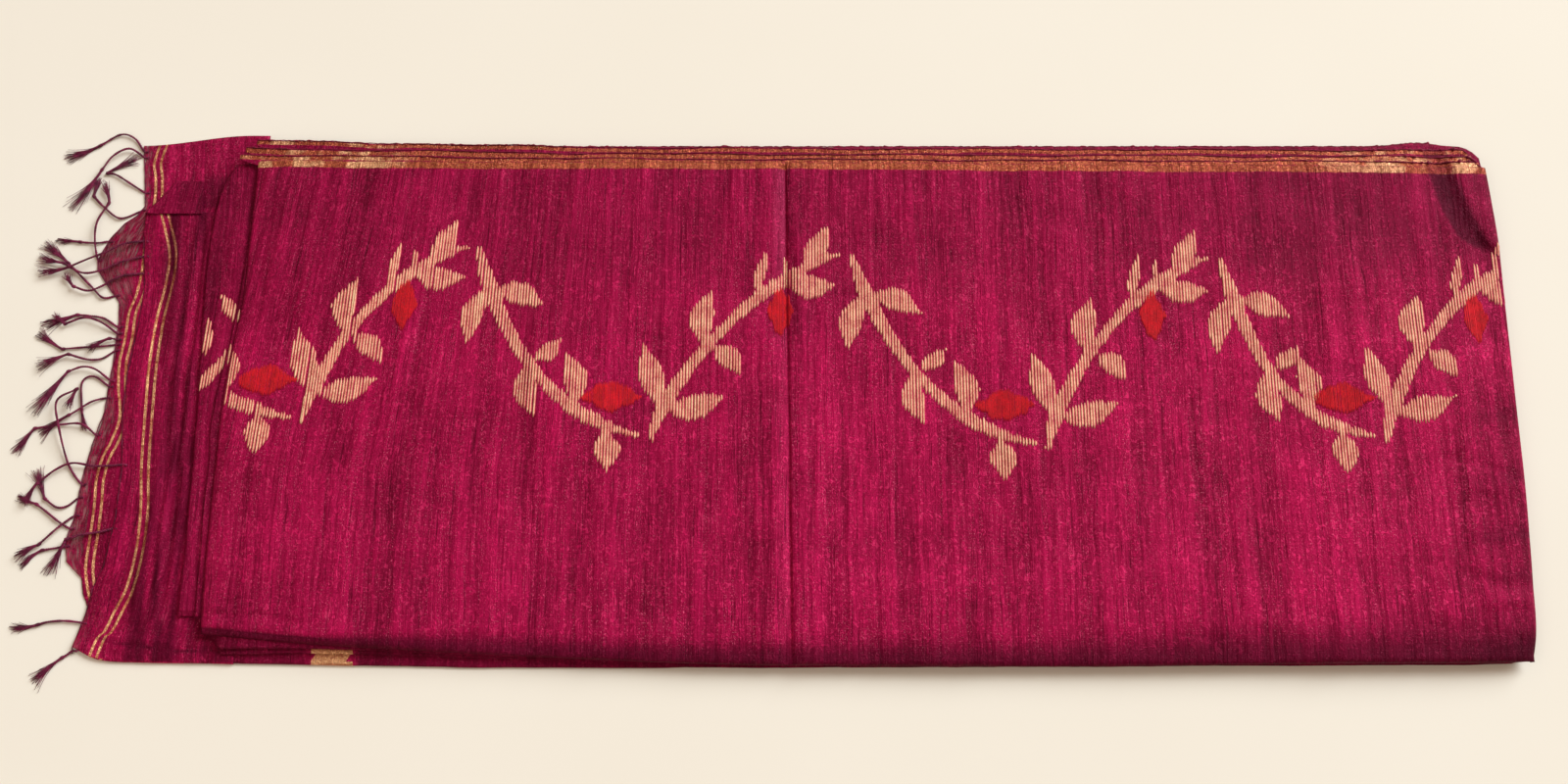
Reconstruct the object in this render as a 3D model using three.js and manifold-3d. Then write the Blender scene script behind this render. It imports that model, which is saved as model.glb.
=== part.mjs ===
// A handloom silk saree, folded and laid flat.
// Millimetres, +Z up. The cloth is folded in half across its width, with the fold at -Y and both
// selvedges at +Y, then in a zigzag of four passes along its length. The end piece (pallu) of the
// lowest pass sticks out at -X with its two plies apart, and its warp is knotted into tassels.
//
// Heights are written as levels: the height in millimetres at the middle of the stack. place()
// turns a level into a height, because the stack is thinner at the left and fuller at the right.

import * as THREE from 'three';
import Module from 'manifold-3d';
import { mergeVertices } from 'three/addons/utils/BufferGeometryUtils.js';

// ---------- driving dimensions ----------

const WALL = 1.2;              // one stretch of cloth with its loft
const THIN_WALL = 1.0;         // the narrow inner pleat
const GAP = 0.3;               // air between layers that touch
const SEAM = 0.9;              // air where a hidden end meets the layers behind it
const TOP_LEVEL = 15.7;        // upper face of the top panel
const LID_FOOT_LEVEL = 12.2;   // where the rolled edges of the top panel end
const NOSE_REACH = 6.0;        // how far the front roll reaches
const SIDE_REACH = 9.0;        // how far the right roll reaches
const CREASE_X = 5.0;          // centre crease from an older fold
const CREASE_DEPTH = 0.8;
const CREASE_HALF_WIDTH = 12.0;
const TROUGH_DEPTH = 2.0;      // hollow at the back right corner of the top panel
const HIDDEN_BACK = 55.3;      // how far hidden layers stay in where selvedges lie over them
const HIDDEN_RIGHT = 78.0;     // and under the hollow at the right
const BACK_Y = 287.0;          // rear edge of the lowest plies
const PALLU_SEAM = 8.0;        // the pallu ends this far in under the top panel's left edge
const FOLD_SEAM = 16.0;        // the left folds end this far in
const FRINGE_SEAM = 0.5;       // air between a cloth edge and the knotted backing of its fringe
const BACKING_WIDTH = 2.0;
const CORD_RADIUS = 1.0;
const KNOT_RADIUS = 2.0;

// ---------- tables ----------

// Height of the stack along X, as a share of the levels.
const LOFT = [
  { x: -820, share: 0.92 },
  { x: -600, share: 0.92 },
  { x: -300, share: 0.98 },
  { x: 0, share: 1.0 },
  { x: 300, share: 1.04 },
  { x: 600, share: 1.1 },
  { x: 700, share: 1.08 },
  { x: 800, share: 1.02 },
];

// Front fold of each pass, from the top panel down to the pass on the floor.
const FRONT = [
  { x: -600, top: -262, third: -279, second: -284, first: -291 },
  { x: -480, top: -273, third: -278, second: -282, first: -293 },
  { x: -300, top: -283, third: -285, second: -287, first: -296 },
  { x: -100, top: -292, third: -291, second: -292, first: -296 },
  { x: 0, top: -294, third: -293, second: -294, first: -296 },
  { x: 300, top: -295, third: -294, second: -294, first: -295 },
  { x: 500, top: -293, third: -293, second: -293, first: -294 },
  { x: 700, top: -292, third: -291, second: -291, first: -293 },
  { x: 748, top: -291, third: -289, second: -289, first: -292 },
  { x: 780, top: -288, third: -287, second: -288, first: -291 },
];

// Left edge of the top panel and its right fold.
const SIDES = [
  { y: -296, left: -596, right: 760 },
  { y: -262, left: -596, right: 768 },
  { y: -215, left: -598, right: 771 },
  { y: -112, left: -598, right: 776 },
  { y: -5, left: -596, right: 778 },
  { y: 106, left: -585, right: 780 },
  { y: 164, left: -584, right: 781 },
  { y: 254, left: -583, right: 777 },
  { y: 300, left: -583, right: 772 },
];

// Outer edge of the left fold and of the narrow pleat that lies on it.
const LEFT_FOLDS = [
  { y: -240, outer: -623, inner: -604 },
  { y: -153, outer: -623, inner: -606 },
  { y: -79, outer: -624, inner: -606 },
  { y: -26, outer: -625, inner: -607 },
  { y: 73, outer: -629, inner: -593 },
  { y: 118, outer: -630, inner: -589 },
  { y: 165, outer: -630, inner: -587 },
  { y: 229, outer: -623, inner: -587 },
  { y: 262, outer: -609, inner: -587 },
];

// Rear selvedges, in steps from under the top panel down to the third pass.
const SELVEDGES = [
  { name: 'selvedge_second', bottom: 12.5, left: -604, right: 773, yLeft: 272, yMid: 266, yRight: 262 },
  { name: 'selvedge_third', bottom: 10.7, left: -599, right: 770, yLeft: 281, yMid: 273, yRight: 269 },
  { name: 'selvedge_fourth', bottom: 8.9, left: -588, right: 764, yLeft: 291, yMid: 281, yRight: 278 },
];

// Rings of the hidden layers: how far each one stays in from the outline on its four sides.
// Each pass bulges in its middle and is nipped where it meets the next one.
const CORE_RINGS = [
  { level: 0.0, fold: 'first', front: 3.0, back: 3.0, left: 8.0, right: 4.0 },
  { level: 0.9, fold: 'first', front: 0.7, back: 0.8, left: 8.0, right: 1.2 },
  { level: 2.6, fold: 'first', front: 0.3, back: 0.3, left: 8.0, right: 0.5 },
  { level: 3.6, fold: 'first', front: 2.6, back: 2.2, left: 8.0, right: 2.6 },
  { level: 3.85, fold: 'second', front: 4.0, back: 4.0, left: 16.0, right: 4.2 },
  { level: 4.7, fold: 'second', front: 1.0, back: 2.6, left: 16.0, right: 1.8 },
  { level: 6.8, fold: 'second', front: 0.4, back: 2.2, left: 16.0, right: 1.0 },
  { level: 7.6, fold: 'second', front: 2.6, back: 4.0, left: 16.0, right: 3.0 },
  { level: 7.85, fold: 'third', front: 4.0, back: 5.0, left: 16.0, right: 4.2 },
  { level: 8.4, fold: 'third', front: 1.6, back: 5.2, left: 16.0, right: 2.0 },
  { level: 8.6, fold: 'third', front: 1.3, back: HIDDEN_BACK, left: 16.0, right: 1.6 },
  { level: 10.8, fold: 'third', front: 0.4, back: HIDDEN_BACK, left: 16.0, right: 0.6 },
  { level: 11.85, fold: 'third', front: 2.0, back: HIDDEN_BACK, left: 16.0, right: 1.6 },
  { level: 12.1, fold: 'top', front: 2.2, back: HIDDEN_BACK, left: 1.5, right: HIDDEN_RIGHT },
  { level: 13.1, fold: 'top', front: 2.6, back: HIDDEN_BACK, left: 1.5, right: HIDDEN_RIGHT },
];

// Free edge of the upper pallu ply.
const PALLU_UPPER_EDGE = [
  { y: -300, x: -727 },
  { y: -274, x: -729 },
  { y: -239, x: -719 },
  { y: -213, x: -715 },
  { y: -192, x: -707 },
  { y: -140, x: -700 },
  { y: -87, x: -699 },
  { y: -23, x: -705 },
  { y: 21, x: -705 },
  { y: 77, x: -699 },
  { y: 121, x: -697 },
  { y: 176, x: -704 },
  { y: 207, x: -706 },
];

// Front fold of the pallu, which draws back towards its free corner.
const PALLU_FRONT = [
  { x: -730, y: -276 },
  { x: -706, y: -287 },
  { x: -661, y: -290 },
  { x: -590, y: -291 },
];

// Free edge of the lower pallu ply, scalloped where the tassels pull it.
const PALLU_LOWER_EDGE = [
  { y: -276, x: -716 },
  { y: -238, x: -718 },
  { y: -217, x: -727 },
  { y: -204, x: -728 },
  { y: -194, x: -738 },
  { y: -185, x: -747 },
  { y: -171, x: -750 },
  { y: -156, x: -748 },
  { y: -140, x: -744 },
  { y: -108, x: -741 },
  { y: -87, x: -739 },
  { y: -55, x: -733 },
  { y: -22, x: -725 },
  { y: 0, x: -724 },
  { y: 33, x: -722 },
  { y: 77, x: -721 },
  { y: 102, x: -723 },
  { y: 121, x: -738 },
  { y: 140, x: -751 },
  { y: 151, x: -752 },
  { y: 175, x: -742 },
  { y: 194, x: -727 },
  { y: 204, x: -714 },
  { y: 215, x: -707 },
  { y: 251, x: -711 },
  { y: 286, x: -716 },
];

// The turned-down corner that lies on the end of the upper ply.
const FLAP_ROWS = [
  { y: 204.5, left: -705, right: -643, lift: 3.0 },
  { y: 208.5, left: -703, right: -643, lift: 3.0 },
  { y: 216, left: -697, right: -643, lift: 2.3 },
  { y: 226, left: -689, right: -644, lift: 1.8 },
  { y: 236, left: -680, right: -645, lift: 1.6 },
  { y: 244, left: -676, right: -645, lift: 1.6 },
];

// Tassels: route from the cloth's edge to the knot as x, y, z, then where the brush below it ends.
// The first point gives only the place along the edge; its x and z come from the backing.
const LOWER_TASSELS = [
  { at: 281, route: [[-727, 296, 2.2], [-743, 301, 2.6], [-765, 288, 2.0]], tip: [-799, 268, 1.2] },
  { at: 274, route: [[-731, 283, 4.4], [-748, 274, 5.2], [-759, 257, 4.6]], tip: [-783, 210, 1.3] },
  { at: 231, route: [[-727, 242, 2.2], [-743, 252, 2.2], [-753, 254, 2.0]], tip: [-722, 275, 1.2] },
  { at: 209, route: [[-733, 200, 2.0], [-752, 213, 1.8], [-765, 226, 1.8]], tip: [-762, 248, 1.2] },
  { at: 151, route: [[-757, 172, 4.6], [-757, 195, 4.8], [-747, 217, 4.0]], tip: [-752, 244, 3.6] },
  { at: 173, route: [[-752, 171, 2.0], [-764, 171, 2.0], [-774, 172, 2.0]], tip: [-800, 177, 1.2] },
  { at: 109, route: [[-742, 107, 2.0], [-757, 121, 1.9], [-784, 147, 1.9]], tip: [-812, 172, 1.2] },
  { at: 73, route: [[-738, 83, 2.0], [-755, 86, 1.9], [-767, 87, 1.8]], tip: [-803, 74, 1.2] },
  { at: 66, route: [[-738, 77, 4.6], [-757, 83, 5.0], [-778, 76, 4.2]], tip: [-792, 88, 3.8] },
  { at: 59, route: [[-725, 59, 4.4], [-728, 59, 4.6]], tip: [-751, 51, 4.6] },
  { at: 53, route: [[-736, 51, 1.9], [-755, 50, 1.8], [-778, 48, 1.8]], tip: [-808, 64, 1.2] },
  { at: 46, route: [[-735, 37, 2.0], [-750, 36, 2.2], [-770, 41, 4.6]], tip: [-803, 30, 3.8] },
  { at: 13, route: [[-739, 24, 4.6], [-753, 27, 4.8], [-768, 22, 4.2]], tip: [-799, -24, 3.4] },
  { at: 6, route: [[-741, 17, 1.9], [-753, 10, 1.8], [-750, -20, 1.8]], tip: [-745, -44, 1.6] },
  { at: -7, route: [[-739, -12, 4.4], [-755, -23, 4.8], [-762, -27, 4.2]], tip: [-794, -42, 1.4] },
  { at: -48, route: [[-747, -37, 4.6], [-770, -37, 2.4], [-797, -41, 1.8]], tip: [-815, -69, 1.2] },
  { at: -102, route: [[-757, -80, 2.2], [-770, -40, 7.4], [-775, -12, 7.8], [-756, 1, 7.2]], tip: [-767, -18, 6.6] },
  { at: -117, route: [[-753, -126, 1.9], [-764, -127, 1.8], [-777, -118, 1.8]], tip: [-790, -86, 1.2] },
  { at: -150, route: [[-759, -143, 2.0], [-775, -131, 1.8], [-785, -124, 1.8]], tip: [-807, -117, 1.2] },
  { at: -136, route: [[-757, -148, 4.4], [-766, -157, 4.8], [-776, -167, 4.2]], tip: [-801, -176, 3.2] },
  { at: -169, route: [[-761, -171, 1.9], [-773, -173, 1.8]], tip: [-796, -185, 1.2] },
];
const UPPER_TASSELS = [
  { at: 173, route: [[-724, 168, 6.6], [-742, 158, 7.6], [-760, 150, 8.2], [-780, 141, 7.2]], tip: [-812, 129, 3.8] },
  { at: 155, route: [[-724, 148, 4.6], [-748, 137, 5.0], [-767, 135, 4.8], [-788, 146, 4.4]], tip: [-818, 151, 2.4] },
  { at: 135, route: [[-724, 131, 4.2], [-744, 119, 4.6], [-758, 114, 4.6], [-774, 119, 4.2]], tip: [-787, 133, 4.2] },
  { at: -81, route: [[-727, -83, 4.2], [-751, -80, 5.2], [-768, -87, 5.2], [-786, -102, 4.6]], tip: [-801, -122, 4.4] },
  { at: -150, route: [[-715, -154, 4.2], [-733, -157, 4.8], [-748, -162, 5.2]], tip: [-764, -198, 1.4] },
  { at: -249, route: [[-740, -247, 2.0], [-757, -248, 1.9], [-768, -251, 1.8]], tip: [-794, -259, 1.2] },
  { at: -278, route: [[-734, -282, 2.2], [-739, -285, 1.9]], tip: [-768, -306, 1.2] },
];

// ---------- reading the tables ----------

/** Smooth value of column `key` where column `by` equals `at`; the rows rise in `by`. */
function read(table, by, key, at) {
  const last = table.length - 1;
  if (at <= table[0][by]) return table[0][key];
  if (at >= table[last][by]) return table[last][key];
  const k = table.findIndex((row) => row[by] > at) - 1;
  const before = table[Math.max(k - 1, 0)];
  const after = table[Math.min(k + 2, last)];
  const [a, b] = [table[k], table[k + 1]];
  const span = b[by] - a[by];
  const slopeA = (b[key] - before[key]) / (b[by] - before[by]);
  const slopeB = (after[key] - a[key]) / (after[by] - a[by]);
  const t = (at - a[by]) / span;
  const s = 1 - t;
  return a[key] * (1 + 2 * t) * s * s + b[key] * (1 + 2 * s) * t * t
    + span * (slopeA * t * s * s - slopeB * s * t * t);
}

/** The same, along straight lines from row to row. */
function readStraight(table, by, key, at) {
  const next = THREE.MathUtils.clamp(table.findIndex((row) => row[by] > at), 1, table.length - 1);
  const k = at >= table.at(-1)[by] ? table.length - 1 : next;
  const [a, b] = [table[k - 1], table[k]];
  return THREE.MathUtils.mapLinear(at, a[by], b[by], a[key], b[key]);
}

const front = (fold, x) => read(FRONT, 'x', fold, x);
const leftEdge = (y) => read(SIDES, 'y', 'left', y);
const rightEdge = (y) => read(SIDES, 'y', 'right', y);
const mix = (a, b, t) => a + (b - a) * t;
const fade = (t) => {
  const s = THREE.MathUtils.clamp(t, 0, 1);
  return s * s * (3 - 2 * s);
};

/** A point of the stack: a level becomes a height. */
function place(x, y, level) {
  return new THREE.Vector3(x, y, level * read(LOFT, 'x', 'share', x));
}

// ---------- building solids ----------

/** Mesh geometry from points and triangles. */
function geometryOf(points, triangles) {
  const geometry = new THREE.BufferGeometry();
  geometry.setAttribute('position', new THREE.Float32BufferAttribute(points.flatMap((p) => p.toArray()), 3));
  geometry.setIndex(triangles);
  return geometry;
}

/** Closed wall between an outer and an inner grid of points; outer faces look along rows x columns. */
function wallBetween(outer, inner) {
  const rows = outer.length;
  const cols = outer[0].length;
  const out = (i, j) => i * cols + j;
  const into = (i, j) => rows * cols + out(i, j);
  const triangles = [];
  const quad = (a, b, c, d) => triangles.push(a, b, c, a, c, d);
  for (let i = 0; i < rows - 1; i += 1) {
    for (let j = 0; j < cols - 1; j += 1) {
      quad(out(i, j), out(i + 1, j), out(i + 1, j + 1), out(i, j + 1));
      quad(into(i, j), into(i, j + 1), into(i + 1, j + 1), into(i + 1, j));
    }
    quad(out(i, 0), into(i, 0), into(i + 1, 0), out(i + 1, 0));
    quad(out(i + 1, cols - 1), into(i + 1, cols - 1), into(i, cols - 1), out(i, cols - 1));
  }
  for (let j = 0; j < cols - 1; j += 1) {
    quad(out(0, j + 1), into(0, j + 1), into(0, j), out(0, j));
    quad(out(rows - 1, j), into(rows - 1, j), into(rows - 1, j + 1), out(rows - 1, j + 1));
  }
  return geometryOf([...outer.flat(), ...inner.flat()], triangles);
}

/** Wall of cloth from a grid of { x, y, level, normal }: the inner face lies `wall` under the outer. */
function clothWall(grid, wall) {
  const outer = grid.map((row) => row.map((p) => place(p.x, p.y, p.level)));
  const inner = grid.map((row) => row.map((p) => {
    const n = p.normal;
    return place(p.x - n.x * wall, p.y - n.y * wall, p.level - n.z * wall);
  }));
  return wallBetween(outer, inner);
}

/** Closed solid through rings of equal length, lowest first, each counter-clockwise from above. */
function ringSolid(rings) {
  const count = rings[0].length;
  const centre = (ring) => ring.reduce((sum, p) => sum.add(p), new THREE.Vector3()).divideScalar(count);
  const points = [...rings.flat(), centre(rings[0]), centre(rings.at(-1))];
  const bottom = points.length - 2;
  const top = points.length - 1;
  const triangles = [];
  for (let i = 0; i < count; i += 1) {
    const next = (i + 1) % count;
    for (let k = 0; k < rings.length - 1; k += 1) {
      const [a, b] = [k * count + i, k * count + next];
      triangles.push(a, b, b + count, a, b + count, a + count);
    }
    const lid = (rings.length - 1) * count;
    triangles.push(next, i, bottom, lid + i, lid + next, top);
  }
  return geometryOf(points, triangles);
}

/** Tapered strand through points, with `sides` sides and a radius for each point. */
function strand(points, radii, sides) {
  const rings = points.map((p, k) => {
    const ahead = points[Math.min(k + 1, points.length - 1)].clone();
    const along = ahead.sub(points[Math.max(k - 1, 0)]).normalize();
    const side = new THREE.Vector3(0, 0, 1).cross(along).normalize();
    const up = along.clone().cross(side);
    return Array.from({ length: sides }, (_, s) => {
      const turn = (2 * Math.PI * (s + 0.5)) / sides;
      return p.clone()
        .addScaledVector(side, Math.cos(turn) * radii[k])
        .addScaledVector(up, Math.sin(turn) * radii[k]);
    });
  });
  return ringSolid(rings);
}

// ---------- the sub-parts ----------

const FLAT_X = [0, 60, 120, 190, 265, 340, 420, 500, 575, 590, 597, 602, 607, 619, 640,
  720, 800, 880, 960, 1040, 1120, 1190, 1250, 1300];
const ARC = [0, 25, 50, 70, 90].map(THREE.MathUtils.degToRad);
const PANEL_LEFT_X = -598;

/** Depth of the centre crease. */
function crease(x, y) {
  const across = fade(1 - Math.abs(x - CREASE_X) / CREASE_HALF_WIDTH);
  return CREASE_DEPTH * across * fade((236 - y) / 30);
}

/** Slanting hollow at the back right corner. */
function trough(x, y) {
  const middle = mix(778, 748, (y - 165) / 80);
  const across = fade(1 - Math.abs(x - middle) / 17);
  return TROUGH_DEPTH * across * fade((y - 160) / 60) * fade((275 - y) / 30);
}

/** Top panel: flat cloth whose front and right edges roll down to the layer below. */
function topPanel() {
  const flatY = [258, 249, 236, 215, 190, 164, 120, 60, 0, -60, -120, -180, -225, -250, -270];
  const rows = [...flatY.map((y) => ({ y, arc: 0 })), ...ARC.slice(1).map((arc) => ({ y: -300, arc }))];
  const columns = [...FLAT_X.map((dx) => ({ dx, arc: 0 })), ...ARC.map((arc) => ({ dx: 1400, arc }))];
  const drop = TOP_LEVEL - LID_FOOT_LEVEL;
  const grid = rows.map((row) => columns.map((column) => {
    const near = fade((200 - column.dx) / 200);
    const slant = (PANEL_LEFT_X - leftEdge(row.y)) * near;
    const side = rightEdge(Math.max(row.y, -290)) - SIDE_REACH * (1 - Math.sin(column.arc));
    const x = column.dx > 1300 ? side : PANEL_LEFT_X + column.dx - slant;
    const nose = front('top', x);
    const flat = mix(258, nose + NOSE_REACH, (258 - row.y) / (258 + 270));
    const squeezed = row.y > 0 ? row.y : flat;
    const back = row.y === 258 ? mix(264, 255, column.dx / 1400) : squeezed;
    const y = row.arc > 0 ? nose + NOSE_REACH * (1 - Math.sin(row.arc)) : back;
    const level = TOP_LEVEL - drop * (1 - Math.cos(row.arc) * Math.cos(column.arc))
      - (crease(x, y) + trough(x, y)) * Math.cos(row.arc) * Math.cos(column.arc);
    const normal = new THREE.Vector3(
      Math.sin(column.arc) / SIDE_REACH,
      -Math.sin(row.arc) / NOSE_REACH,
      (Math.cos(row.arc) * Math.cos(column.arc)) / drop,
    ).normalize();
    return { x, y, level, normal };
  }));
  return clothWall(grid, WALL);
}

/** Hidden layers of all four passes, ridged at the edges where each pass shows. */
function coreLayers() {
  const alongX = [0.02, 0.08, 0.16, 0.25, 0.34, 0.43, 0.52, 0.62, 0.72, 0.81, 0.89, 0.95, 0.985];
  const alongY = Array.from({ length: 17 }, (_, k) => mix(0.02, 0.98, k / 16));
  const rings = CORE_RINGS.map((ring) => {
    const left = (y) => leftEdge(y) + ring.left;
    const right = (y) => rightEdge(y) - ring.right;
    const nose = (x) => front(ring.fold, x) + ring.front;
    const rear = BACK_Y - ring.back;
    const along = (list, a, b) => list.map((t) => mix(a, b, t));
    const frontX = along(alongX, left(-280), right(-280));
    const rearX = along(alongX, left(rear), right(rear)).reverse();
    const rightY = along(alongY, nose(740), rear);
    const leftY = along(alongY, nose(-580), rear).reverse();
    return [
      ...frontX.map((x) => place(x, nose(x), ring.level)),
      ...rightY.map((y) => place(right(y), y, ring.level)),
      ...rearX.map((x) => place(x, rear, ring.level)),
      ...leftY.map((y) => place(left(y), y, ring.level)),
    ];
  });
  return ringSolid(rings);
}

/** Fold along Y: an upper arm, a round edge at -X and a lower arm, both arms ending under the panel. */
function sideFold(ys, edge, { bottom, height, reach, wall }) {
  const middle = bottom + height / 2;
  const turns = [0, 30, 60, 90, 120, 150, 180].map(THREE.MathUtils.degToRad);
  const grid = ys.map((y) => {
    const end = leftEdge(y) + FOLD_SEAM - SEAM;
    const start = edge(y) + reach;
    const arm = (share, up) => ({
      x: mix(end, start, share), y, level: middle + (up * height) / 2, normal: new THREE.Vector3(0, 0, up),
    });
    const round = turns.map((turn) => ({
      x: edge(y) + reach * (1 - Math.sin(turn)),
      y,
      level: middle + Math.cos(turn) * (height / 2),
      normal: new THREE.Vector3(-Math.sin(turn) / reach, 0, Math.cos(turn) / (height / 2)).normalize(),
    }));
    return [arm(0, 1), arm(0.5, 1), ...round, arm(0.5, -1), arm(0, -1)];
  });
  return clothWall(grid, wall);
}

function leftFold() {
  const ys = [-240, -200, -153, -120, -79, -26, 24, 73, 118, 165, 197, 229, 262];
  const edge = (y) => read(LEFT_FOLDS, 'y', 'outer', y);
  return sideFold(ys, edge, { bottom: 4.0, height: 4.4, reach: 3.0, wall: WALL });
}

function leftFoldInner() {
  const ys = [-242, -200, -153, -120, -79, -26, 24, 73, 118, 150];
  const edge = (y) => read(LEFT_FOLDS, 'y', 'inner', y);
  return sideFold(ys, edge, { bottom: 8.7, height: 2.8, reach: 1.5, wall: THIN_WALL });
}

/** A flat layer between two levels, from rows of { y, left, right } and shares of their width. */
function slab(rows, shares, wall) {
  const grid = rows.map((row) => shares.map((share) => ({
    x: mix(row.left, row.right, share),
    y: row.bend ? row.bend(mix(row.left, row.right, share)) : row.y,
    level: row.lift + wall,
    normal: new THREE.Vector3(0, 0, 1),
  })));
  return clothWall(grid, wall);
}

/** Selvedge that steps out from under the top panel, lying slightly wavy. */
function selvedge({ bottom, left, right, yLeft, yMid, yRight }) {
  const line = [{ x: left, y: yLeft }, { x: left * 0.4, y: mix(yLeft, yMid, 0.8) },
    { x: 0, y: yMid }, { x: right, y: yRight }];
  const edge = (x) => read(line, 'x', 'y', x) + 0.7 * Math.sin(x / 41 + bottom) + 0.4 * Math.sin(x / 17);
  const inner = BACK_Y - HIDDEN_BACK + GAP;
  const rows = [edge, (x) => mix(inner, edge(x), 0.5), () => inner].map((bend) => ({
    left, right, bend, lift: bottom,
  }));
  const shares = Array.from({ length: 33 }, (_, k) => k / 32);
  return slab(rows, shares, WALL);
}

const palluEnd = (y) => leftEdge(y) + PALLU_SEAM - SEAM;
const palluUpperEdge = (y) => readStraight(PALLU_UPPER_EDGE, 'y', 'x', y);
const palluLowerEdge = (y) => readStraight(PALLU_LOWER_EDGE, 'y', 'x', y);
const palluFront = (x) => read(PALLU_FRONT, 'x', 'y', x);
const PALLU_HEIGHT = 3.7;
const PALLU_REACH = 2.2;
const PALLU_RETURN = 10.0;

/** Upper ply of the pallu: it rises in soft folds and wraps round the front edge to the floor. */
function palluUpper() {
  const ys = PALLU_UPPER_EDGE.slice(1).map((row) => row.y).reverse();
  const turns = [0, 30, 60, 90, 120, 150, 180].map(THREE.MathUtils.degToRad);
  const shares = [0, 0.08, 0.18, 0.3, 0.42, 0.54, 0.66, 0.8, 1];
  const rows = [
    ...ys.map((y) => ({ y, turn: 0, inward: 0 })),
    ...turns.map((turn) => ({ y: -290, turn, inward: 0 })),
    { y: -290, turn: Math.PI, inward: PALLU_RETURN },
  ];
  const resting = 2.7;
  const middle = PALLU_HEIGHT / 2;
  const grid = rows.map((row) => shares.map((share) => {
    const tuck = row.turn > 0 ? 6 * Math.sin(row.turn / 2) : 0;
    const x = mix(palluUpperEdge(row.y) + tuck, palluEnd(row.y), share);
    const nose = palluFront(x);
    const wrap = nose + PALLU_REACH * (1 - Math.sin(row.turn)) + row.inward;
    const y = row.y > -280 ? Math.max(row.y, nose + PALLU_REACH + 1) : wrap;
    const waves = 0.45 * (1 + Math.sin(x / 6.5 + row.y / 55)) * fade((200 - row.y) / 40);
    const swell = fade((nose + 34 - y) / 30);
    const upper = mix(resting + waves, PALLU_HEIGHT, swell);
    const level = row.y > -280 ? upper : middle * (1 + Math.cos(row.turn));
    const normal = new THREE.Vector3(0, -Math.sin(row.turn) / PALLU_REACH, Math.cos(row.turn) / middle);
    return { x, y, level, normal: normal.normalize() };
  }));
  return clothWall(grid, WALL);
}

/** Lower ply of the pallu, flat on the surface, from behind the upper ply's return to the rear edge. */
function palluLower() {
  const behind = (x) => palluFront(x) + PALLU_REACH + PALLU_RETURN + GAP;
  const rear = (x) => mix(288, 300, fade((x + 716) / 120));
  const rows = PALLU_LOWER_EDGE.map(({ y }) => ({
    y,
    left: palluLowerEdge(y),
    right: palluEnd(y),
    lift: 0,
  }));
  rows[0].bend = behind;
  rows.at(-1).bend = rear;
  return slab(rows.reverse(), [0, 0.12, 0.5, 1], WALL);
}

function palluFlap() {
  const rows = [...FLAP_ROWS].reverse();
  return slab(rows, [0, 0.15, 0.5, 1], WALL);
}

// ---------- fringe ----------

const wasm = await Module();
wasm.setup();

/** Union of overlapping closed geometries as one closed body. */
function fuse(geometries) {
  const solids = geometries.map((geometry) => {
    const bare = mergeVertices(geometry, 1e-4);
    return new wasm.Manifold(new wasm.Mesh({
      numProp: 3,
      vertProperties: new Float32Array(bare.attributes.position.array),
      triVerts: new Uint32Array(bare.index.array),
    }));
  });
  const mesh = solids.reduce((sum, solid) => sum.add(solid)).getMesh();
  const geometry = new THREE.BufferGeometry();
  geometry.setAttribute('position', new THREE.BufferAttribute(mesh.vertProperties, 3));
  geometry.setIndex(new THREE.BufferAttribute(mesh.triVerts, 1));
  return geometry;
}

/** Narrow knotted strip along a cloth edge. */
function backing(edge, ys, lift) {
  const rows = [...ys].sort((a, b) => b - a).map((y) => ({
    y,
    left: edge(y) - FRINGE_SEAM - BACKING_WIDTH,
    right: edge(y) - FRINGE_SEAM,
    lift,
  }));
  return slab(rows, [0, 1], WALL);
}

/** One tassel: a cord from the backing, thickened to a knot, and the locks of its brush. */
function tassel({ at, route, tip }, edge, lift) {
  const start = place(edge(at) - FRINGE_SEAM - BACKING_WIDTH / 2, at, lift + WALL / 2);
  const path = [start, ...route.map((p) => new THREE.Vector3(...p))];
  const knot = path.at(-1);
  const curve = new THREE.CatmullRomCurve3(path, false, 'centripetal');
  const steps = path.length + 2;
  const radii = Array(steps).fill(CORD_RADIUS).concat(KNOT_RADIUS);
  const cord = strand(curve.getPoints(steps), radii, 4);
  const brush = new THREE.Vector3(...tip).sub(knot);
  const locks = [-17, 1, 19].map((degrees, k) => {
    const reach = brush.clone().multiplyScalar(k % 2 ? 1 : 0.88);
    const turned = reach.applyAxisAngle(new THREE.Vector3(0, 0, 1), THREE.MathUtils.degToRad(degrees));
    const end = knot.clone().add(turned);
    const root = knot.clone().addScaledVector(turned, -0.04);
    return strand([root, end], [CORD_RADIUS, 0.5], 3);
  });
  return [cord, ...locks];
}

/** A row of tassels with their backing, as one body. */
function fringe(tassels, edge, { ys, lift }) {
  return fuse([backing(edge, ys, lift), ...tassels.flatMap((row) => tassel(row, edge, lift))]);
}

/** Places along an edge where its table bends, between two ends. */
function bends(table, from, to) {
  return [from, ...table.map((row) => row.y).filter((y) => y > from + 2 && y < to - 2), to];
}

const fringeUpper = () => fringe(UPPER_TASSELS, palluUpperEdge, {
  ys: bends(PALLU_UPPER_EDGE, -281, 178), lift: 1.6,
});
const fringeLower = () => fringe(LOWER_TASSELS, palluLowerEdge, {
  ys: bends(PALLU_LOWER_EDGE, -171, 284), lift: 0.4,
});

// ---------- the saree ----------

const COLOURS = { silk: 0xa8195a, shade: 0x7d0f45, zari: 0xc98a4a, thread: 0x5a1038 };

function piece(name, geometry, colour) {
  const flat = geometry.toNonIndexed();
  const solid = mergeVertices(flat, 1e-4);
  solid.computeVertexNormals();
  const material = new THREE.MeshStandardMaterial({ color: colour, roughness: 0.62, metalness: 0.0 });
  const mesh = new THREE.Mesh(solid, material);
  mesh.name = name;
  return mesh;
}

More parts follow.
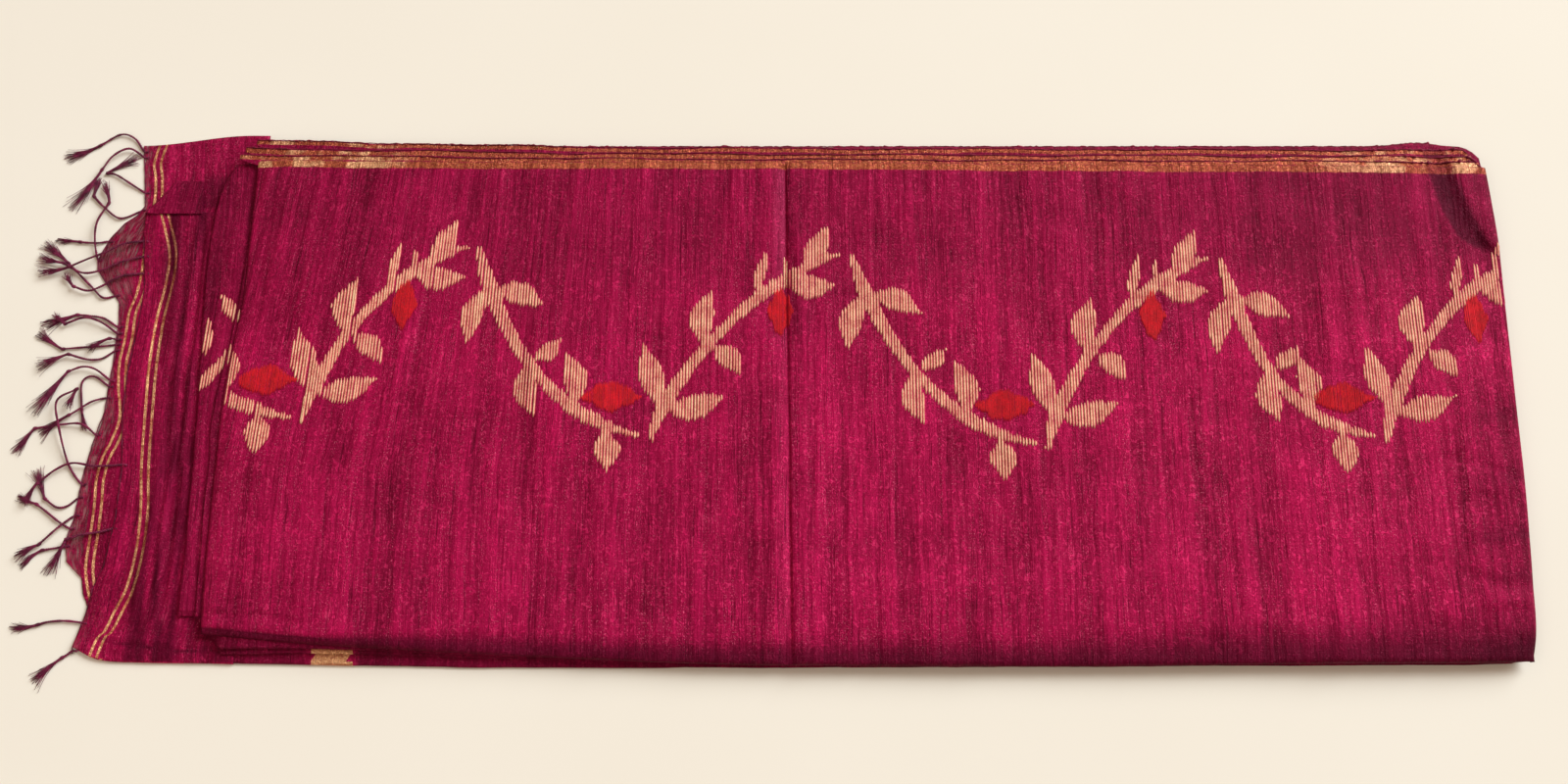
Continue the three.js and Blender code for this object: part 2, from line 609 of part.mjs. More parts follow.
const saree = new THREE.Group();
saree.name = 'saree';
saree.add(piece('core_layers', coreLayers(), COLOURS.shade));
saree.add(piece('top_panel', topPanel(), COLOURS.silk));
saree.add(piece('left_fold', leftFold(), COLOURS.silk));
saree.add(piece('left_fold_inner', leftFoldInner(), COLOURS.silk));
saree.add(piece('pallu_upper', palluUpper(), COLOURS.silk));
saree.add(piece('pallu_lower', palluLower(), COLOURS.shade));
saree.add(piece('pallu_flap', palluFlap(), COLOURS.silk));
SELVEDGES.forEach((row) => saree.add(piece(row.name, selvedge(row), COLOURS.zari)));
saree.add(piece('fringe_upper', fringeUpper(), COLOURS.thread));
saree.add(piece('fringe_lower', fringeLower(), COLOURS.thread));

// The origin is the middle of the underside's bounding box.
const box = new THREE.Box3().setFromObject(saree, true);
const middle = box.getCenter(new THREE.Vector3());
saree.position.set(-middle.x, -middle.y, -box.min.z);

export default saree;
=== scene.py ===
"""A folded handloom silk saree: thin cloth shells on the CAD stack, woven gold, and a knotted fringe.

Places are in the millimetres of the part's source, and placed() turns them into the frame's metres.
Levels are heights before the stack's loft, which makes it thicker towards the right.

Each cloth piece carries two vectors for its material. "weave" is the place across and along the cloth
and how much it is darkened, from 0 to 1, which is painted shade in most places. "zone" is the distance
from the first gold line, the distance from the rear edge, and how sheer the cloth is or, below 0, how
strong its painted highlight is.
"""
import math

import bpy
import numpy as np
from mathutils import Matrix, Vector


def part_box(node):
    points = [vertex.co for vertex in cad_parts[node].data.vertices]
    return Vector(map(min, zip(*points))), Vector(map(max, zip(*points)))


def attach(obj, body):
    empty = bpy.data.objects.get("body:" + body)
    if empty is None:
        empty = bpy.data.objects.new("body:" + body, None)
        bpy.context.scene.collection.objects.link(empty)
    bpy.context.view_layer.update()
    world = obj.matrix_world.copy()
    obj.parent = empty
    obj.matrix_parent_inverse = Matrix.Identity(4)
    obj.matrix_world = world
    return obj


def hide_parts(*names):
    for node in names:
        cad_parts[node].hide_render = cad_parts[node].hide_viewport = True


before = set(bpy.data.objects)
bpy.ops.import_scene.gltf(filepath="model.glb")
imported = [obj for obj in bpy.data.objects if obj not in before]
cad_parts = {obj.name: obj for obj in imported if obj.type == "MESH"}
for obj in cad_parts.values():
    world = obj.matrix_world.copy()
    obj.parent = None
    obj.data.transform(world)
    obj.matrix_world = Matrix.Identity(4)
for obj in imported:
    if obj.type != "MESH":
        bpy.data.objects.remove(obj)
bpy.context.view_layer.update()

# ---------- sizes, in millimetres ----------

SILK_THICK = 0.5           # of every cloth shell
TOP_LEVEL = 15.7           # level of the top panel's face
LID_FOOT_LEVEL = 12.2      # level where its front and right rolls are upright
NOSE_REACH = 6.0           # how far its front roll reaches
SIDE_REACH = 9.0           # how far its right roll reaches
PANEL_LEFT, PANEL_RIGHT = -598, 771
PALLU_REAR = 207           # rear end of the pallu's upper ply
PALLU_LEVEL = 2.7          # level of that ply's face
PALLU_HEIGHT = 3.7         # its level over the front roll
PALLU_REACH = 2.2          # how far the front roll reaches
PALLU_TUCK = 7.0           # how far both plies run in under the stack's left edge
FLOOR_LOFT = 0.92          # the loft at the pallu end
BORDER_WIDTH = 8.6         # of the gold border, woven along the rear edge
LINE_WIDTH = 2.8           # of each gold line on the pallu
LINE_GAP = 7.6             # from the middle of one to the middle of the other
CORE_REAR = 287.0          # rear of the hidden layers
STEP_IN = 55.3             # how far their upper passes stay in behind the selvedges
CORD_RADIUS = 1.3          # of a tassel's two plies together
WEAVE_PITCH = 0.62         # of the silk's own threads, for its bump
WEFT_PITCH = 3.15          # distance between the vine's weft threads
BUD_PITCH = 1.15           # distance between the buds' weft threads
FAR = 500.0                # a zone value that is nowhere near a border
NOWHERE = (FAR, FAR, 0)    # the zone of plain cloth
QUARTER = math.pi / 2

# The rows of each table below are along x, from left to right, or along y, from front to rear.
LOFT = [(-820, FLOOR_LOFT), (-600, FLOOR_LOFT), (-300, 0.98), (0, 1.0), (300, 1.04), (600, 1.1),
        (700, 1.08), (800, 1.02)]
# Front edges of the four passes that show, one above the other.
FRONT_X = (-600, -480, -300, -100, 0, 300, 500, 700, 748, 780)
FRONT = {
    "top": (-262, -273, -283, -292, -294, -295, -293, -292, -291, -288),
    "third": (-279, -278, -285, -291, -293, -294, -293, -291, -289, -287),
    "second": (-284, -282, -287, -292, -294, -294, -293, -291, -289, -288),
    "first": (-291, -293, -296, -296, -296, -295, -294, -293, -292, -291),
}
# The stack's left and right edges.
SIDE_Y = (-296, -262, -215, -112, -5, 106, 164, 254, 300)
SIDES = {
    "left": (-596, -596, -598, -598, -596, -585, -584, -583, -583),
    "right": (760, 768, 771, 776, 778, 780, 781, 777, 772),
}
# Edges of the left fold and of the narrow pleat on it.
FOLD_Y = (-240, -153, -79, -26, 73, 118, 165, 229, 262)
FOLDS = {
    "outer": (-623, -623, -624, -625, -629, -630, -630, -623, -609),
    "inner": (-604, -606, -606, -607, -593, -589, -587, -587, -587),
}
# The pallu's free edges as (y, x), and the front edge that both its plies share as (x, y).
PALLU_UPPER_EDGE = [(-300, -727), (-274, -729), (-239, -719), (-213, -715), (-192, -707), (-140, -700),
                    (-87, -699), (-23, -705), (21, -705), (77, -699), (121, -697), (176, -704), (207, -706)]
PALLU_FRONT = [(-730, -276), (-706, -287), (-661, -290), (-590, -291), (-558, -291.8)]
PALLU_LOWER_EDGE = [(-276, -716), (-238, -718), (-217, -727), (-204, -728), (-194, -738), (-185, -747),
                    (-171, -750), (-156, -748), (-140, -744), (-108, -741), (-87, -739), (-55, -733),
                    (-22, -725), (0, -724), (33, -722), (77, -721), (102, -723), (121, -738), (140, -751),
                    (151, -752), (175, -742), (194, -727), (204, -714), (215, -707), (251, -711),
                    (286, -716)]
# Where the first of the pallu's two gold lines runs on each ply, as (y, x).
UPPER_LINE = [(-300, -716), (-265, -706), (-259, -700), (-239, -692), (-213, -682), (-172, -676),
              (-130, -676), (-87, -680), (-44, -682), (-12, -683), (21, -684), (60, -683), (88, -681),
              (122, -676), (151, -675), (169, -678), (209, -691)]
LOWER_LINE = [(-276, -700), (-200, -726), (-150, -726), (-119, -726), (-98, -727), (-76, -724),
              (-55, -716), (-28, -710), (5, -715), (33, -717), (61, -714), (89, -713), (111, -707),
              (140, -704), (171, -704), (200, -700), (230, -699), (250, -701), (268, -704), (300, -697)]
# Line: y of the edge at the left, in the middle and at the right. Border: width of the gold that shows.
SELVEDGES = [
    dict(node="selvedge_second", bottom=12.5, left=-604, right=773, line=(272, 266, 262), border=5.2),
    dict(node="selvedge_third", bottom=10.7, left=-599, right=770, line=(281, 273, 269), border=6.6),
    dict(node="selvedge_fourth", bottom=8.9, left=-588, right=764, line=(291, 281, 278), border=5.0),
]

# Soft ridges (+) and troughs (-): x and y of the two ends, half width and height.
PANEL_CREASES = [
    (-66, 21, -6, 17, 3, -0.55), (14, 12, 112, 21, 3, -0.5), (22, -4, 74, 5, 2.5, -0.4),
    (40, 30, 95, 34, 4, 0.3), (-40, 8, -8, 6, 2.5, -0.35), (-150, 34, -70, 24, 4, -0.25),
    (-600, -240, -508, -247, 2.4, -1.4), (-600, -234, -520, -240, 3, 0.8),
    (-598, -252, -500, -256, 3, 0.7), (690, -76, 768, -97, 4.5, -1.9), (712, -112, 776, -104, 6, 1.6),
    (706, -205, 770, -216, 4.5, -1.8), (716, -233, 768, -227, 5, 1.5), (734, -15, 766, -30, 3.5, -1.5),
    (738, -45, 771, -55, 3.5, -1.4), (742, 62, 776, 48, 4, -1.2), (748, 100, 779, 92, 4, -1.1),
    (740, -150, 776, -160, 5, -0.8), (690, 180, 742, 60, 9, 0.6), (-570, 240, -592, 60, 5, 0.7),
    (-560, 240, -584, -40, 4, -0.6), (-548, 250, -560, -120, 6, 0.4), (-470, 250, -492, -30, 8, 0.35),
    (-250, 240, -262, -200, 9, 0.3), (-404, 120, -398, -270, 10, 0.25), (-330, 240, -338, 60, 6, -0.25),
    (120, 230, 110, -60, 10, 0.3), (300, 120, 306, -270, 11, 0.3), (520, 230, 512, -120, 12, 0.35),
    (200, 250, 196, 130, 7, -0.35), (420, 250, 428, 170, 9, -0.45), (585, 252, 592, 110, 9, -0.4),
    (640, 40, 636, -200, 8, -0.35), (-596, -262, -420, -256, 4, 0.4), (-120, -270, 60, -276, 5, 0.3),
    (560, -262, 742, -268, 6, 0.4), (90, -120, 190, -132, 5, -0.25), (-240, -150, -140, -140, 5, -0.25),
    (330, 96, 420, 104, 4, -0.3), (-440, -110, -360, -102, 5, -0.25), (560, -30, 640, -44, 5, -0.35),
]
PALLU_CREASES = [
    (-643, 204, -650, 60, 3, 2.4), (-650, 62, -652, -60, 3.2, 2.2), (-636, 206, -640, 40, 2.2, -1),
    (-631, 200, -636, 30, 2.6, 2.3), (-636, 40, -638, -90, 2.8, 2.4), (-645, -50, -650, -225, 3.2, 2.3),
    (-634, -70, -634, -235, 2.6, 2.2), (-642, 20, -644, -160, 2.2, -1), (-663, 170, -664, 30, 4.5, 1.3),
    (-660, -60, -668, -230, 4.5, 1.6), (-690, 190, -684, 90, 4, -0.8), (-694, 40, -694, -70, 4, 1),
    (-688, -110, -698, -210, 4, 1.2), (-672, -215, -700, -272, 3.5, -0.8),
    (-655, -225, -676, -276, 3, -0.9), (-646, -232, -662, -280, 2.5, 1.4),
    (-632, -240, -646, -282, 2.5, -0.8), (-700, 66, -660, 62, 3, -0.7), (-703, -40, -664, -46, 3, -0.6),
    (-620, -250, -632, -284, 3, 1.4), (-668, 150, -656, 96, 3, -0.7), (-700, 150, -668, 128, 3, 0.9),
    (-704, -10, -690, -16, 2.5, -0.5), (-676, -96, -660, -150, 3, -0.7),
    (-706, -261, -620, -274, 2.6, 1.9), (-622, -274, -562, -267, 2.6, 1.9),
    (-694, -273, -620, -285, 2.4, 1.5), (-622, -285, -562, -281, 2.4, 1.5),
    (-676, 200, -668, 120, 3, -0.8),
]
LOWER_CREASES = [
    (-746, 160, -716, 130, 4, 1.4), (-735, 185, -708, 172, 4, 1), (-744, -150, -722, -160, 5, 1.2),
    (-736, -60, -712, -70, 4, 0.9), (-724, 40, -706, 30, 4, 0.8), (-712, 262, -650, 276, 6, 1.2),
    (-690, 285, -684, 215, 5, 1), (-668, 292, -662, 240, 4, 1.1), (-640, 294, -632, 240, 5, 1.3),
    (-652, 280, -648, 232, 3, 1), (-704, 240, -672, 226, 3.5, 0.9),
]
FOLD_CREASES = [
    (-616, 240, -618, 20, 2.5, 0.35), (-608, 250, -613, 100, 2, -0.4), (-612, 0, -612, -190, 2, -0.4),
    (-600, 220, -606, 60, 3, 0.4), (-619, -20, -616, -230, 2, 0.3),
]

# Each tassel: y of its root on the free edge, its route as (x, y, z) down to the knot, and its tip.
LOWER_TASSELS = [
    (281, [(-727, 296, 2.2), (-743, 301, 2.6), (-765, 288, 2)], (-799, 268, 1.2)),
    (274, [(-731, 283, 4.4), (-748, 274, 5.2), (-759, 257, 4.6)], (-783, 210, 1.3)),
    (231, [(-727, 242, 2.2), (-743, 252, 2.2), (-753, 254, 2)], (-722, 275, 1.2)),
    (209, [(-733, 200, 2), (-752, 213, 1.8), (-765, 226, 1.8)], (-762, 248, 1.2)),
    (151, [(-757, 172, 4.6), (-757, 195, 4.8), (-747, 217, 4)], (-752, 244, 3.6)),
    (173, [(-752, 171, 2), (-764, 171, 2), (-774, 172, 2)], (-800, 177, 1.2)),
    (109, [(-742, 107, 2), (-757, 121, 1.9), (-784, 147, 1.9)], (-812, 172, 1.2)),
    (73, [(-738, 83, 2), (-755, 86, 1.9), (-767, 87, 1.8)], (-803, 74, 1.2)),
    (66, [(-738, 77, 4.6), (-757, 83, 5), (-778, 76, 4.2)], (-792, 88, 3.8)),
    (59, [(-725, 59, 4.4), (-728, 59, 4.6)], (-751, 51, 4.6)),
    (53, [(-736, 51, 1.9), (-755, 50, 1.8), (-778, 48, 1.8)], (-808, 64, 1.2)),
    (46, [(-735, 37, 2), (-750, 36, 2.2), (-770, 41, 4.6)], (-803, 30, 3.8)),
    (13, [(-739, 24, 4.6), (-753, 27, 4.8), (-768, 22, 4.2)], (-799, -24, 3.4)),
    (6, [(-741, 17, 1.9), (-753, 10, 1.8), (-750, -20, 1.8)], (-745, -44, 1.6)),
    (-7, [(-739, -12, 4.4), (-755, -23, 4.8), (-762, -27, 4.2)], (-794, -42, 1.4)),
    (-48, [(-747, -37, 4.6), (-770, -37, 2.4), (-797, -41, 1.8)], (-815, -69, 1.2)),
    (-102, [(-757, -80, 2.2), (-770, -40, 7.4), (-775, -12, 7.8), (-756, 1, 7.2)], (-767, -18, 6.6)),
    (-117, [(-753, -126, 1.9), (-764, -127, 1.8), (-777, -118, 1.8)], (-790, -86, 1.2)),
    (-150, [(-759, -143, 2), (-775, -131, 1.8), (-785, -124, 1.8)], (-807, -117, 1.2)),
    (-136, [(-757, -148, 4.4), (-766, -157, 4.8), (-776, -167, 4.2)], (-801, -176, 3.2)),
    (-169, [(-761, -171, 1.9), (-773, -173, 1.8)], (-796, -185, 1.2)),
]
UPPER_TASSELS = [
    (173, [(-724, 168, 6.6), (-742, 158, 7.6), (-760, 150, 8.2), (-780, 141, 7.2)], (-812, 129, 3.8)),
    (155, [(-724, 148, 4.6), (-748, 137, 5), (-767, 135, 4.8), (-788, 146, 4.4)], (-818, 151, 2.4)),
    (135, [(-724, 131, 4.2), (-744, 119, 4.6), (-758, 114, 4.6), (-774, 119, 4.2)], (-787, 133, 4.2)),
    (-81, [(-727, -83, 4.2), (-751, -80, 5.2), (-768, -87, 5.2), (-786, -102, 4.6)], (-801, -122, 4.4)),
    (-150, [(-715, -154, 4.2), (-733, -157, 4.8), (-748, -162, 5.2)], (-764, -198, 1.4)),
    (-249, [(-740, -247, 2), (-757, -248, 1.9), (-768, -251, 1.8)], (-794, -259, 1.2)),
    (-278, [(-734, -282, 2.2), (-739, -285, 1.9)], (-768, -306, 1.2)),
]

# ---------- reading tables, noise ----------

MILLIMETRE = 0.001
ANCHOR = (-604, 232)       # where the box of selvedge_second starts in the part's source
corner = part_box("selvedge_second")[0]
SHIFT = np.array([corner[0] - ANCHOR[0] * MILLIMETRE, corner[1] - ANCHOR[1] * MILLIMETRE, 0.0])


def placed(points):
    """Millimetres of the part's source to metres of the frame."""
    return np.asarray(points, float) * MILLIMETRE + SHIFT


def read(rows, at):
    """Smooth value of a table of (place, value) rows, as part.mjs reads it."""
    xs, vs = np.asarray(rows, float).T
    at = np.clip(np.asarray(at, float), xs[0], xs[-1])
    k = np.clip(np.searchsorted(xs, at, side="right") - 1, 0, len(xs) - 2)
    index = np.arange(len(xs))
    low, high = np.maximum(index - 1, 0), np.minimum(index + 1, len(xs) - 1)
    slope = (vs[high] - vs[low]) / (xs[high] - xs[low])
    span = xs[k + 1] - xs[k]
    t = (at - xs[k]) / span
    s = 1 - t
    return (vs[k] * (1 + 2 * t) * s * s + vs[k + 1] * (1 + 2 * s) * t * t
            + span * (slope[k] * t * s * s - slope[k + 1] * s * t * t))


def straight(rows, at):
    """Value of a table of (place, value) rows on straight lines between them."""
    xs, vs = np.asarray(rows, float).T
    return np.interp(at, xs, vs)


def column(table, number):
    """One column of a table against its first."""
    return [(row[0], row[number]) for row in table]


def front(fold, x):
    """Front edge of a pass."""
    return read(list(zip(FRONT_X, FRONT[fold])), x)


def side(which, y):
    """Left or right edge of the stack."""
    return read(list(zip(SIDE_Y, SIDES[which])), y)


def fold_edge(which, y):
    """Round edge of the left fold or of its pleat."""
    return read(list(zip(FOLD_Y, FOLDS[which])), y)


def loft(x):
    """Height for each millimetre of level."""
    return read(LOFT, x)


def fade(t):
    """A soft step from 0 to 1."""
    s = np.clip(t, 0, 1)
    return s * s * (3 - 2 * s)


def bell(t):
    """1 at 0, falling to nothing on both sides."""
    return np.exp(-t ** 2)


CELLS = 97                 # of the noise in each direction, before it repeats


def noise(x, y, size_x, size_y, seed):
    """Smooth noise from -1 to 1 with cells of the given size."""
    lattice = np.random.default_rng(seed).random((CELLS, CELLS)) * 2 - 1
    a, b = np.asarray(x, float) / size_x + 40, np.asarray(y, float) / size_y + 40
    i, j = np.floor(a).astype(int), np.floor(b).astype(int)
    u, v = fade(a - i), fade(b - j)
    at = lambda p, q: lattice[p % CELLS, q % CELLS]
    low = at(i, j) * (1 - u) + at(i + 1, j) * u
    high = at(i, j + 1) * (1 - u) + at(i + 1, j + 1) * u
    return low * (1 - v) + high * v


def waves(x, y, rows):
    """Sum of noises, given as rows of height, size across, size along and seed."""
    return sum(height * noise(x, y, size_x, size_y, seed) for height, size_x, size_y, seed in rows)


def ripple(along, size, seed):
    """Smooth noise along one direction."""
    return noise(along, 0 * along, size, size, seed)


def creased(x, y, table):
    """Sum of the soft ridges and troughs of a table."""
    total = np.zeros(np.broadcast(x, y).shape)
    for x0, y0, x1, y1, half, height in table:
        dx, dy = x1 - x0, y1 - y0
        length = math.hypot(dx, dy)
        along = ((x - x0) * dx + (y - y0) * dy) / (length * length)
        across = ((x - x0) * dy - (y - y0) * dx) / length
        bend = half * 0.5 * np.sin(along * 5 + x0)
        ends = fade((along + 0.06) / 0.18) * fade((1.06 - along) / 0.18)
        total = total + height * bell((across + bend) / half) * ends
    return total


# ---------- meshes ----------

def mesh_piece(name, points, faces, material):
    """A smooth mesh that rides on the part, from millimetre points."""
    mesh = bpy.data.meshes.new(name)
    mesh.from_pydata(placed(points).tolist(), [], faces if isinstance(faces, list) else faces.tolist())
    mesh.validate()
    mesh.materials.append(material)
    mesh.polygons.foreach_set("use_smooth", [True] * len(mesh.polygons))
    piece = bpy.data.objects.new(name, mesh)
    bpy.context.scene.collection.objects.link(piece)
    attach(piece, "root")
    return piece


def attribute(piece, name, values):
    """Store a vector for each vertex, which the silk material reads."""
    layer = piece.data.attributes.new(name, "FLOAT_VECTOR", "POINT")
    layer.data.foreach_set("vector", np.asarray(values, np.float32).reshape(-1))


def shell_faces(rows, cols):
    """Faces of a closed shell: an outer grid, an inner grid and the rim between them."""
    cell = np.arange(rows * cols).reshape(rows, cols)
    a, b, c, d = cell[:-1, :-1], cell[1:, :-1], cell[1:, 1:], cell[:-1, 1:]
    outer = np.stack([a, b, c, d], -1).reshape(-1, 4)
    inner = outer[:, ::-1] + rows * cols
    loop = np.concatenate([cell[:, 0], cell[-1, 1:], cell[-2::-1, -1], cell[0, -2:0:-1]])
    after = np.roll(loop, -1)
    rim = np.stack([loop, loop + rows * cols, after + rows * cols, after], -1)
    return np.concatenate([outer, inner, rim])


def grid_of(x, y, z):
    """Points from coordinates that broadcast together."""
    return np.stack(np.broadcast_arrays(x, y, z), -1)


def grid_normals(grid):
    """Unit normals of a grid of points."""
    down, across = np.gradient(grid, axis=0), np.gradient(grid, axis=1)
    normal = np.cross(down, across)
    size = np.linalg.norm(normal, axis=-1, keepdims=True)
    return normal / np.maximum(size, 1e-9)


def cloth(name, grid, weave, zone, node):
    """A thin closed shell from a grid of points, in place of a node of the part."""
    rows, cols = grid.shape[:2]
    inner = grid - grid_normals(grid) * SILK_THICK
    points = np.concatenate([grid.reshape(-1, 3), inner.reshape(-1, 3)])
    piece = mesh_piece(name, points, shell_faces(rows, cols), SILK)
    for label, values in (("weave", weave), ("zone", zone)):
        flat = np.stack(np.broadcast_arrays(*values, grid[..., 0])[:3], -1).reshape(-1, 3)
        attribute(piece, label, np.concatenate([flat, flat]))
    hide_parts(node)
    return piece


# ---------- materials ----------

class Nodes:
    """A short way to write a material's node tree."""

    def __init__(self, name):
        self.material = bpy.data.materials.new(name)
        self.material.use_nodes = True
        self.tree = self.material.node_tree
        self.tree.nodes.clear()
        self.shader = self.node("BsdfPrincipled")
        output = self.node("OutputMaterial")
        self.tree.links.new(self.shader.outputs[0], output.inputs["Surface"])

    def node(self, kind, *values, **named):
        """A new node, with inputs filled in order and by name."""
        node = self.tree.nodes.new("ShaderNode" + kind)
        for socket, value in zip(node.inputs, values):
            self.put(socket, value)
        for name, value in named.items():
            self.put(node.inputs[name], value)
        return node

    def put(self, socket, value):
        """Link another node's output to a socket, or set its value."""
        if isinstance(value, bpy.types.NodeSocket):
            self.tree.links.new(value, socket)
        else:
            socket.default_value = value

    def look(self, name, value):
        """Fill an input of the material's shader."""
        self.put(self.shader.inputs[name], value)

    def math(self, operation, *values):
        node = self.node("Math", *values)
        node.operation = operation
        return node.outputs[0]

    def plus(self, a, b):
        return self.math("ADD", a, b)

    def minus(self, a, b):
        return self.math("SUBTRACT", a, b)

    def times(self, a, b):
        return self.math("MULTIPLY", a, b)

    def times_plus(self, a, b, c):
        return self.math("MULTIPLY_ADD", a, b, c)

    def larger(self, a, b):
        return self.math("MAXIMUM", a, b)

    def attribute(self, name):
        """The three values of a vector that the mesh carries."""
        node = self.node("Attribute")
        node.attribute_name = name
        return self.node("SeparateXYZ", node.outputs["Vector"]).outputs

    def place(self):
        """The object's own x, y and z."""
        return self.node("SeparateXYZ", self.node("TexCoord").outputs["Object"]).outputs

    def noise(self, x, y, across, along, detail=2.0, rough=0.5, offset=0.0, bend=0.0):
        """Noise with features `across` by `along` of x and y."""
        scaled = self.math("DIVIDE", x, across), self.math("DIVIDE", y, along)
        place = self.node("CombineXYZ", *scaled, offset)
        node = self.node("TexNoise", Vector=place.outputs[0], Scale=1.0, Detail=detail, Roughness=rough,
                         Distortion=bend)
        return node.outputs["Fac"]

    def ramp(self, value, low, high, to_low=0.0, to_high=1.0):
        """A soft step between two values."""
        node = self.node("MapRange", value, low, high, to_low, to_high)
        node.interpolation_type = "SMOOTHSTEP"
        return node.outputs[0]

    def mix(self, share, a, b):
        """A colour between two colours."""
        node = self.node("Mix")
        node.data_type = "RGBA"
        for number, value in ((0, share), (6, a), (7, b)):
            self.put(node.inputs[number], value)
        return node.outputs[2]

    def band(self, value, centre, half, soft=0.25):
        """1 within `half` of `centre`."""
        distance = self.math("ABSOLUTE", self.minus(value, centre))
        return self.ramp(distance, half - soft, half + soft, 1.0, 0.0)

    def bump(self, height, distance, strength):
        """Give the shader a bump from a height."""
        node = self.node("Bump", Strength=strength, Distance=distance, Height=height)
        self.look("Normal", node.outputs[0])


def rgb(red, green, blue):
    """An sRGB colour of 0 to 255 as linear values."""
    line = [(c / 255 / 12.92) if c <= 10 else ((c / 255 + 0.055) / 1.055) ** 2.4 for c in (red, green, blue)]
    return (*line, 1.0)


def silk_material():
    """Slubby silk with its woven gold, placed by the vectors that the cloth carries."""
    n = Nodes("slub_silk")
    s, t, shade = n.attribute("weave")
    line, rear, sheer = n.attribute("zone")

    # Threads along t, whose places wander, and the unevenness between them.
    wobble = n.times(n.minus(n.noise(s, t, 30, 70), 0.5), 5.0)
    u = n.plus(s, wobble)
    wide = n.noise(u, t, 26, 420, 2.0)
    middle = n.noise(u, t, 6.0, 150, 2.5, 0.6, 3.0)
    fine = n.noise(u, t, 1.45, 32, 2.0, 0.6, 7.0)
    crack = n.noise(u, t, 1.9, 44, 2.0, 0.5, 11.0)
    warp = n.noise(s, t, 40, 1.25, 1.0, 0.5, 13.0)
    cloud = n.noise(s, t, 75, 62, 2.0, 0.5, 17.0)
    worm = n.noise(s, t, 4.6, 6.4, 2.5, 0.55, 5.0, 1.6)
    furrow = n.ramp(n.math("ABSOLUTE", n.minus(worm, 0.5)), 0.0, 0.075, 1.0, 0.0)
    long_crack = n.noise(u, t, 3.4, 95, 2.0, 0.55, 53.0)

    # Colour: tone, dark cracks and furrows, pale nubs that also serve as painted glints, painted highlights
    # on ridges and by the middle crease, and painted shade.
    tone = n.times(n.minus(wide, 0.5), 0.7)
    for part, weight in ((middle, 0.75), (fine, 0.55), (worm, 0.95), (warp, 0.25), (cloud, 0.45)):
        tone = n.times_plus(n.minus(part, 0.5), weight, tone)
    tone = n.ramp(tone, -0.6, 0.6)
    colour = n.mix(tone, rgb(102, 1, 34), rgb(212, 20, 90))
    dark_thread = n.larger(n.ramp(crack, 0.36, 0.28), n.ramp(long_crack, 0.37, 0.31))
    # Pale nubs of the slub silk, which also stand in for painted glints.
    nub_rows = n.ramp(n.noise(u, t, 4.2, 200, 1.0, 0.5, 23.0), 0.45, 0.62)
    nubs = n.ramp(n.noise(s, t, 1.2, 1.9, 1.0, 0.5, 29.0), 0.61, 0.70)
    nub_and_glint = n.times(nub_rows, nubs)
    # Painted highlight on the crests of the worm pattern.
    ridge_highlight = n.ramp(n.plus(worm, fine), 1.03, 1.40)
    layers = ((dark_thread, 0.45, rgb(78, 4, 28)), (furrow, 0.26, rgb(86, 4, 32)),
              (nub_and_glint, 0.6, rgb(238, 110, 140)), (ridge_highlight, 0.09, rgb(240, 138, 168)))
    for part, weight, tint in layers:
        colour = n.mix(n.times(part, weight), colour, tint)
    # Painted highlight on the band by the middle crease, where the zone's third value is below 0.
    painted_highlight = n.times(n.larger(n.times(sheer, -1.0), 0.0), n.ramp(middle, 0.2, 0.6, 0.5, 1.0))
    colour = n.mix(painted_highlight, colour, n.mix(tone, rgb(158, 34, 78), rgb(244, 92, 140)))
    # Painted shade, from the weave's third value.
    colour = n.mix(shade, colour, rgb(64, 1, 24))

    # Gold of the two lines and the border: worn in places, lit in patches.
    first, second = (n.band(line, LINE_WIDTH / 2 + step, LINE_WIDTH / 2) for step in (0, LINE_GAP))
    lines = n.larger(first, second)
    border = n.band(rear, BORDER_WIDTH / 2, BORDER_WIDTH / 2 - 0.4)
    gold = n.larger(lines, border)
    worn = n.ramp(n.noise(s, t, 6.0, 4.0, 2.0, 0.6, 41.0), 0.24, 0.33)
    gold = n.times(gold, worn)
    ends = n.larger(n.ramp(s, 540, 700), n.ramp(s, -430, -500))
    lit_ends = n.times(ends, n.ramp(n.noise(s, t, 26, 30, 2.0, 0.5, 43.0), 0.47, 0.60))
    lit_lines = n.times(lines, n.ramp(n.noise(line, t, 60, 17, 2.0, 0.6, 59.0), 0.42, 0.56, 0.25, 1.0))
    lit = n.larger(lit_lines, lit_ends)
    glint = n.noise(s, t, 4.2, 2.6, 2.5, 0.6, 31.0)
    spark = n.ramp(n.noise(s, t, 3.0, 1.8, 1.0, 0.5, 47.0), 0.68, 0.74)
    shine = n.times(lit, n.ramp(glint, 0.30, 0.62, 0.35, 1.0))
    shine = n.larger(shine, n.times(spark, 0.9))
    dull = n.mix(n.ramp(glint, 0.32, 0.68), rgb(158, 62, 50), rgb(200, 112, 70))
    zari = n.mix(shine, dull, rgb(255, 194, 140))
    # The same painted shade darkens the gold.
    zari = n.mix(n.times(shade, 0.9), zari, rgb(110, 22, 34))
    colour = n.mix(gold, colour, zari)
    n.look("Base Color", colour)
    n.look("Metallic", n.times_plus(gold, 0.28, 0.27))
    rough = n.times_plus(n.minus(fine, 0.5), 0.24, 0.46)
    n.look("Roughness", n.times_plus(gold, -0.2, rough))

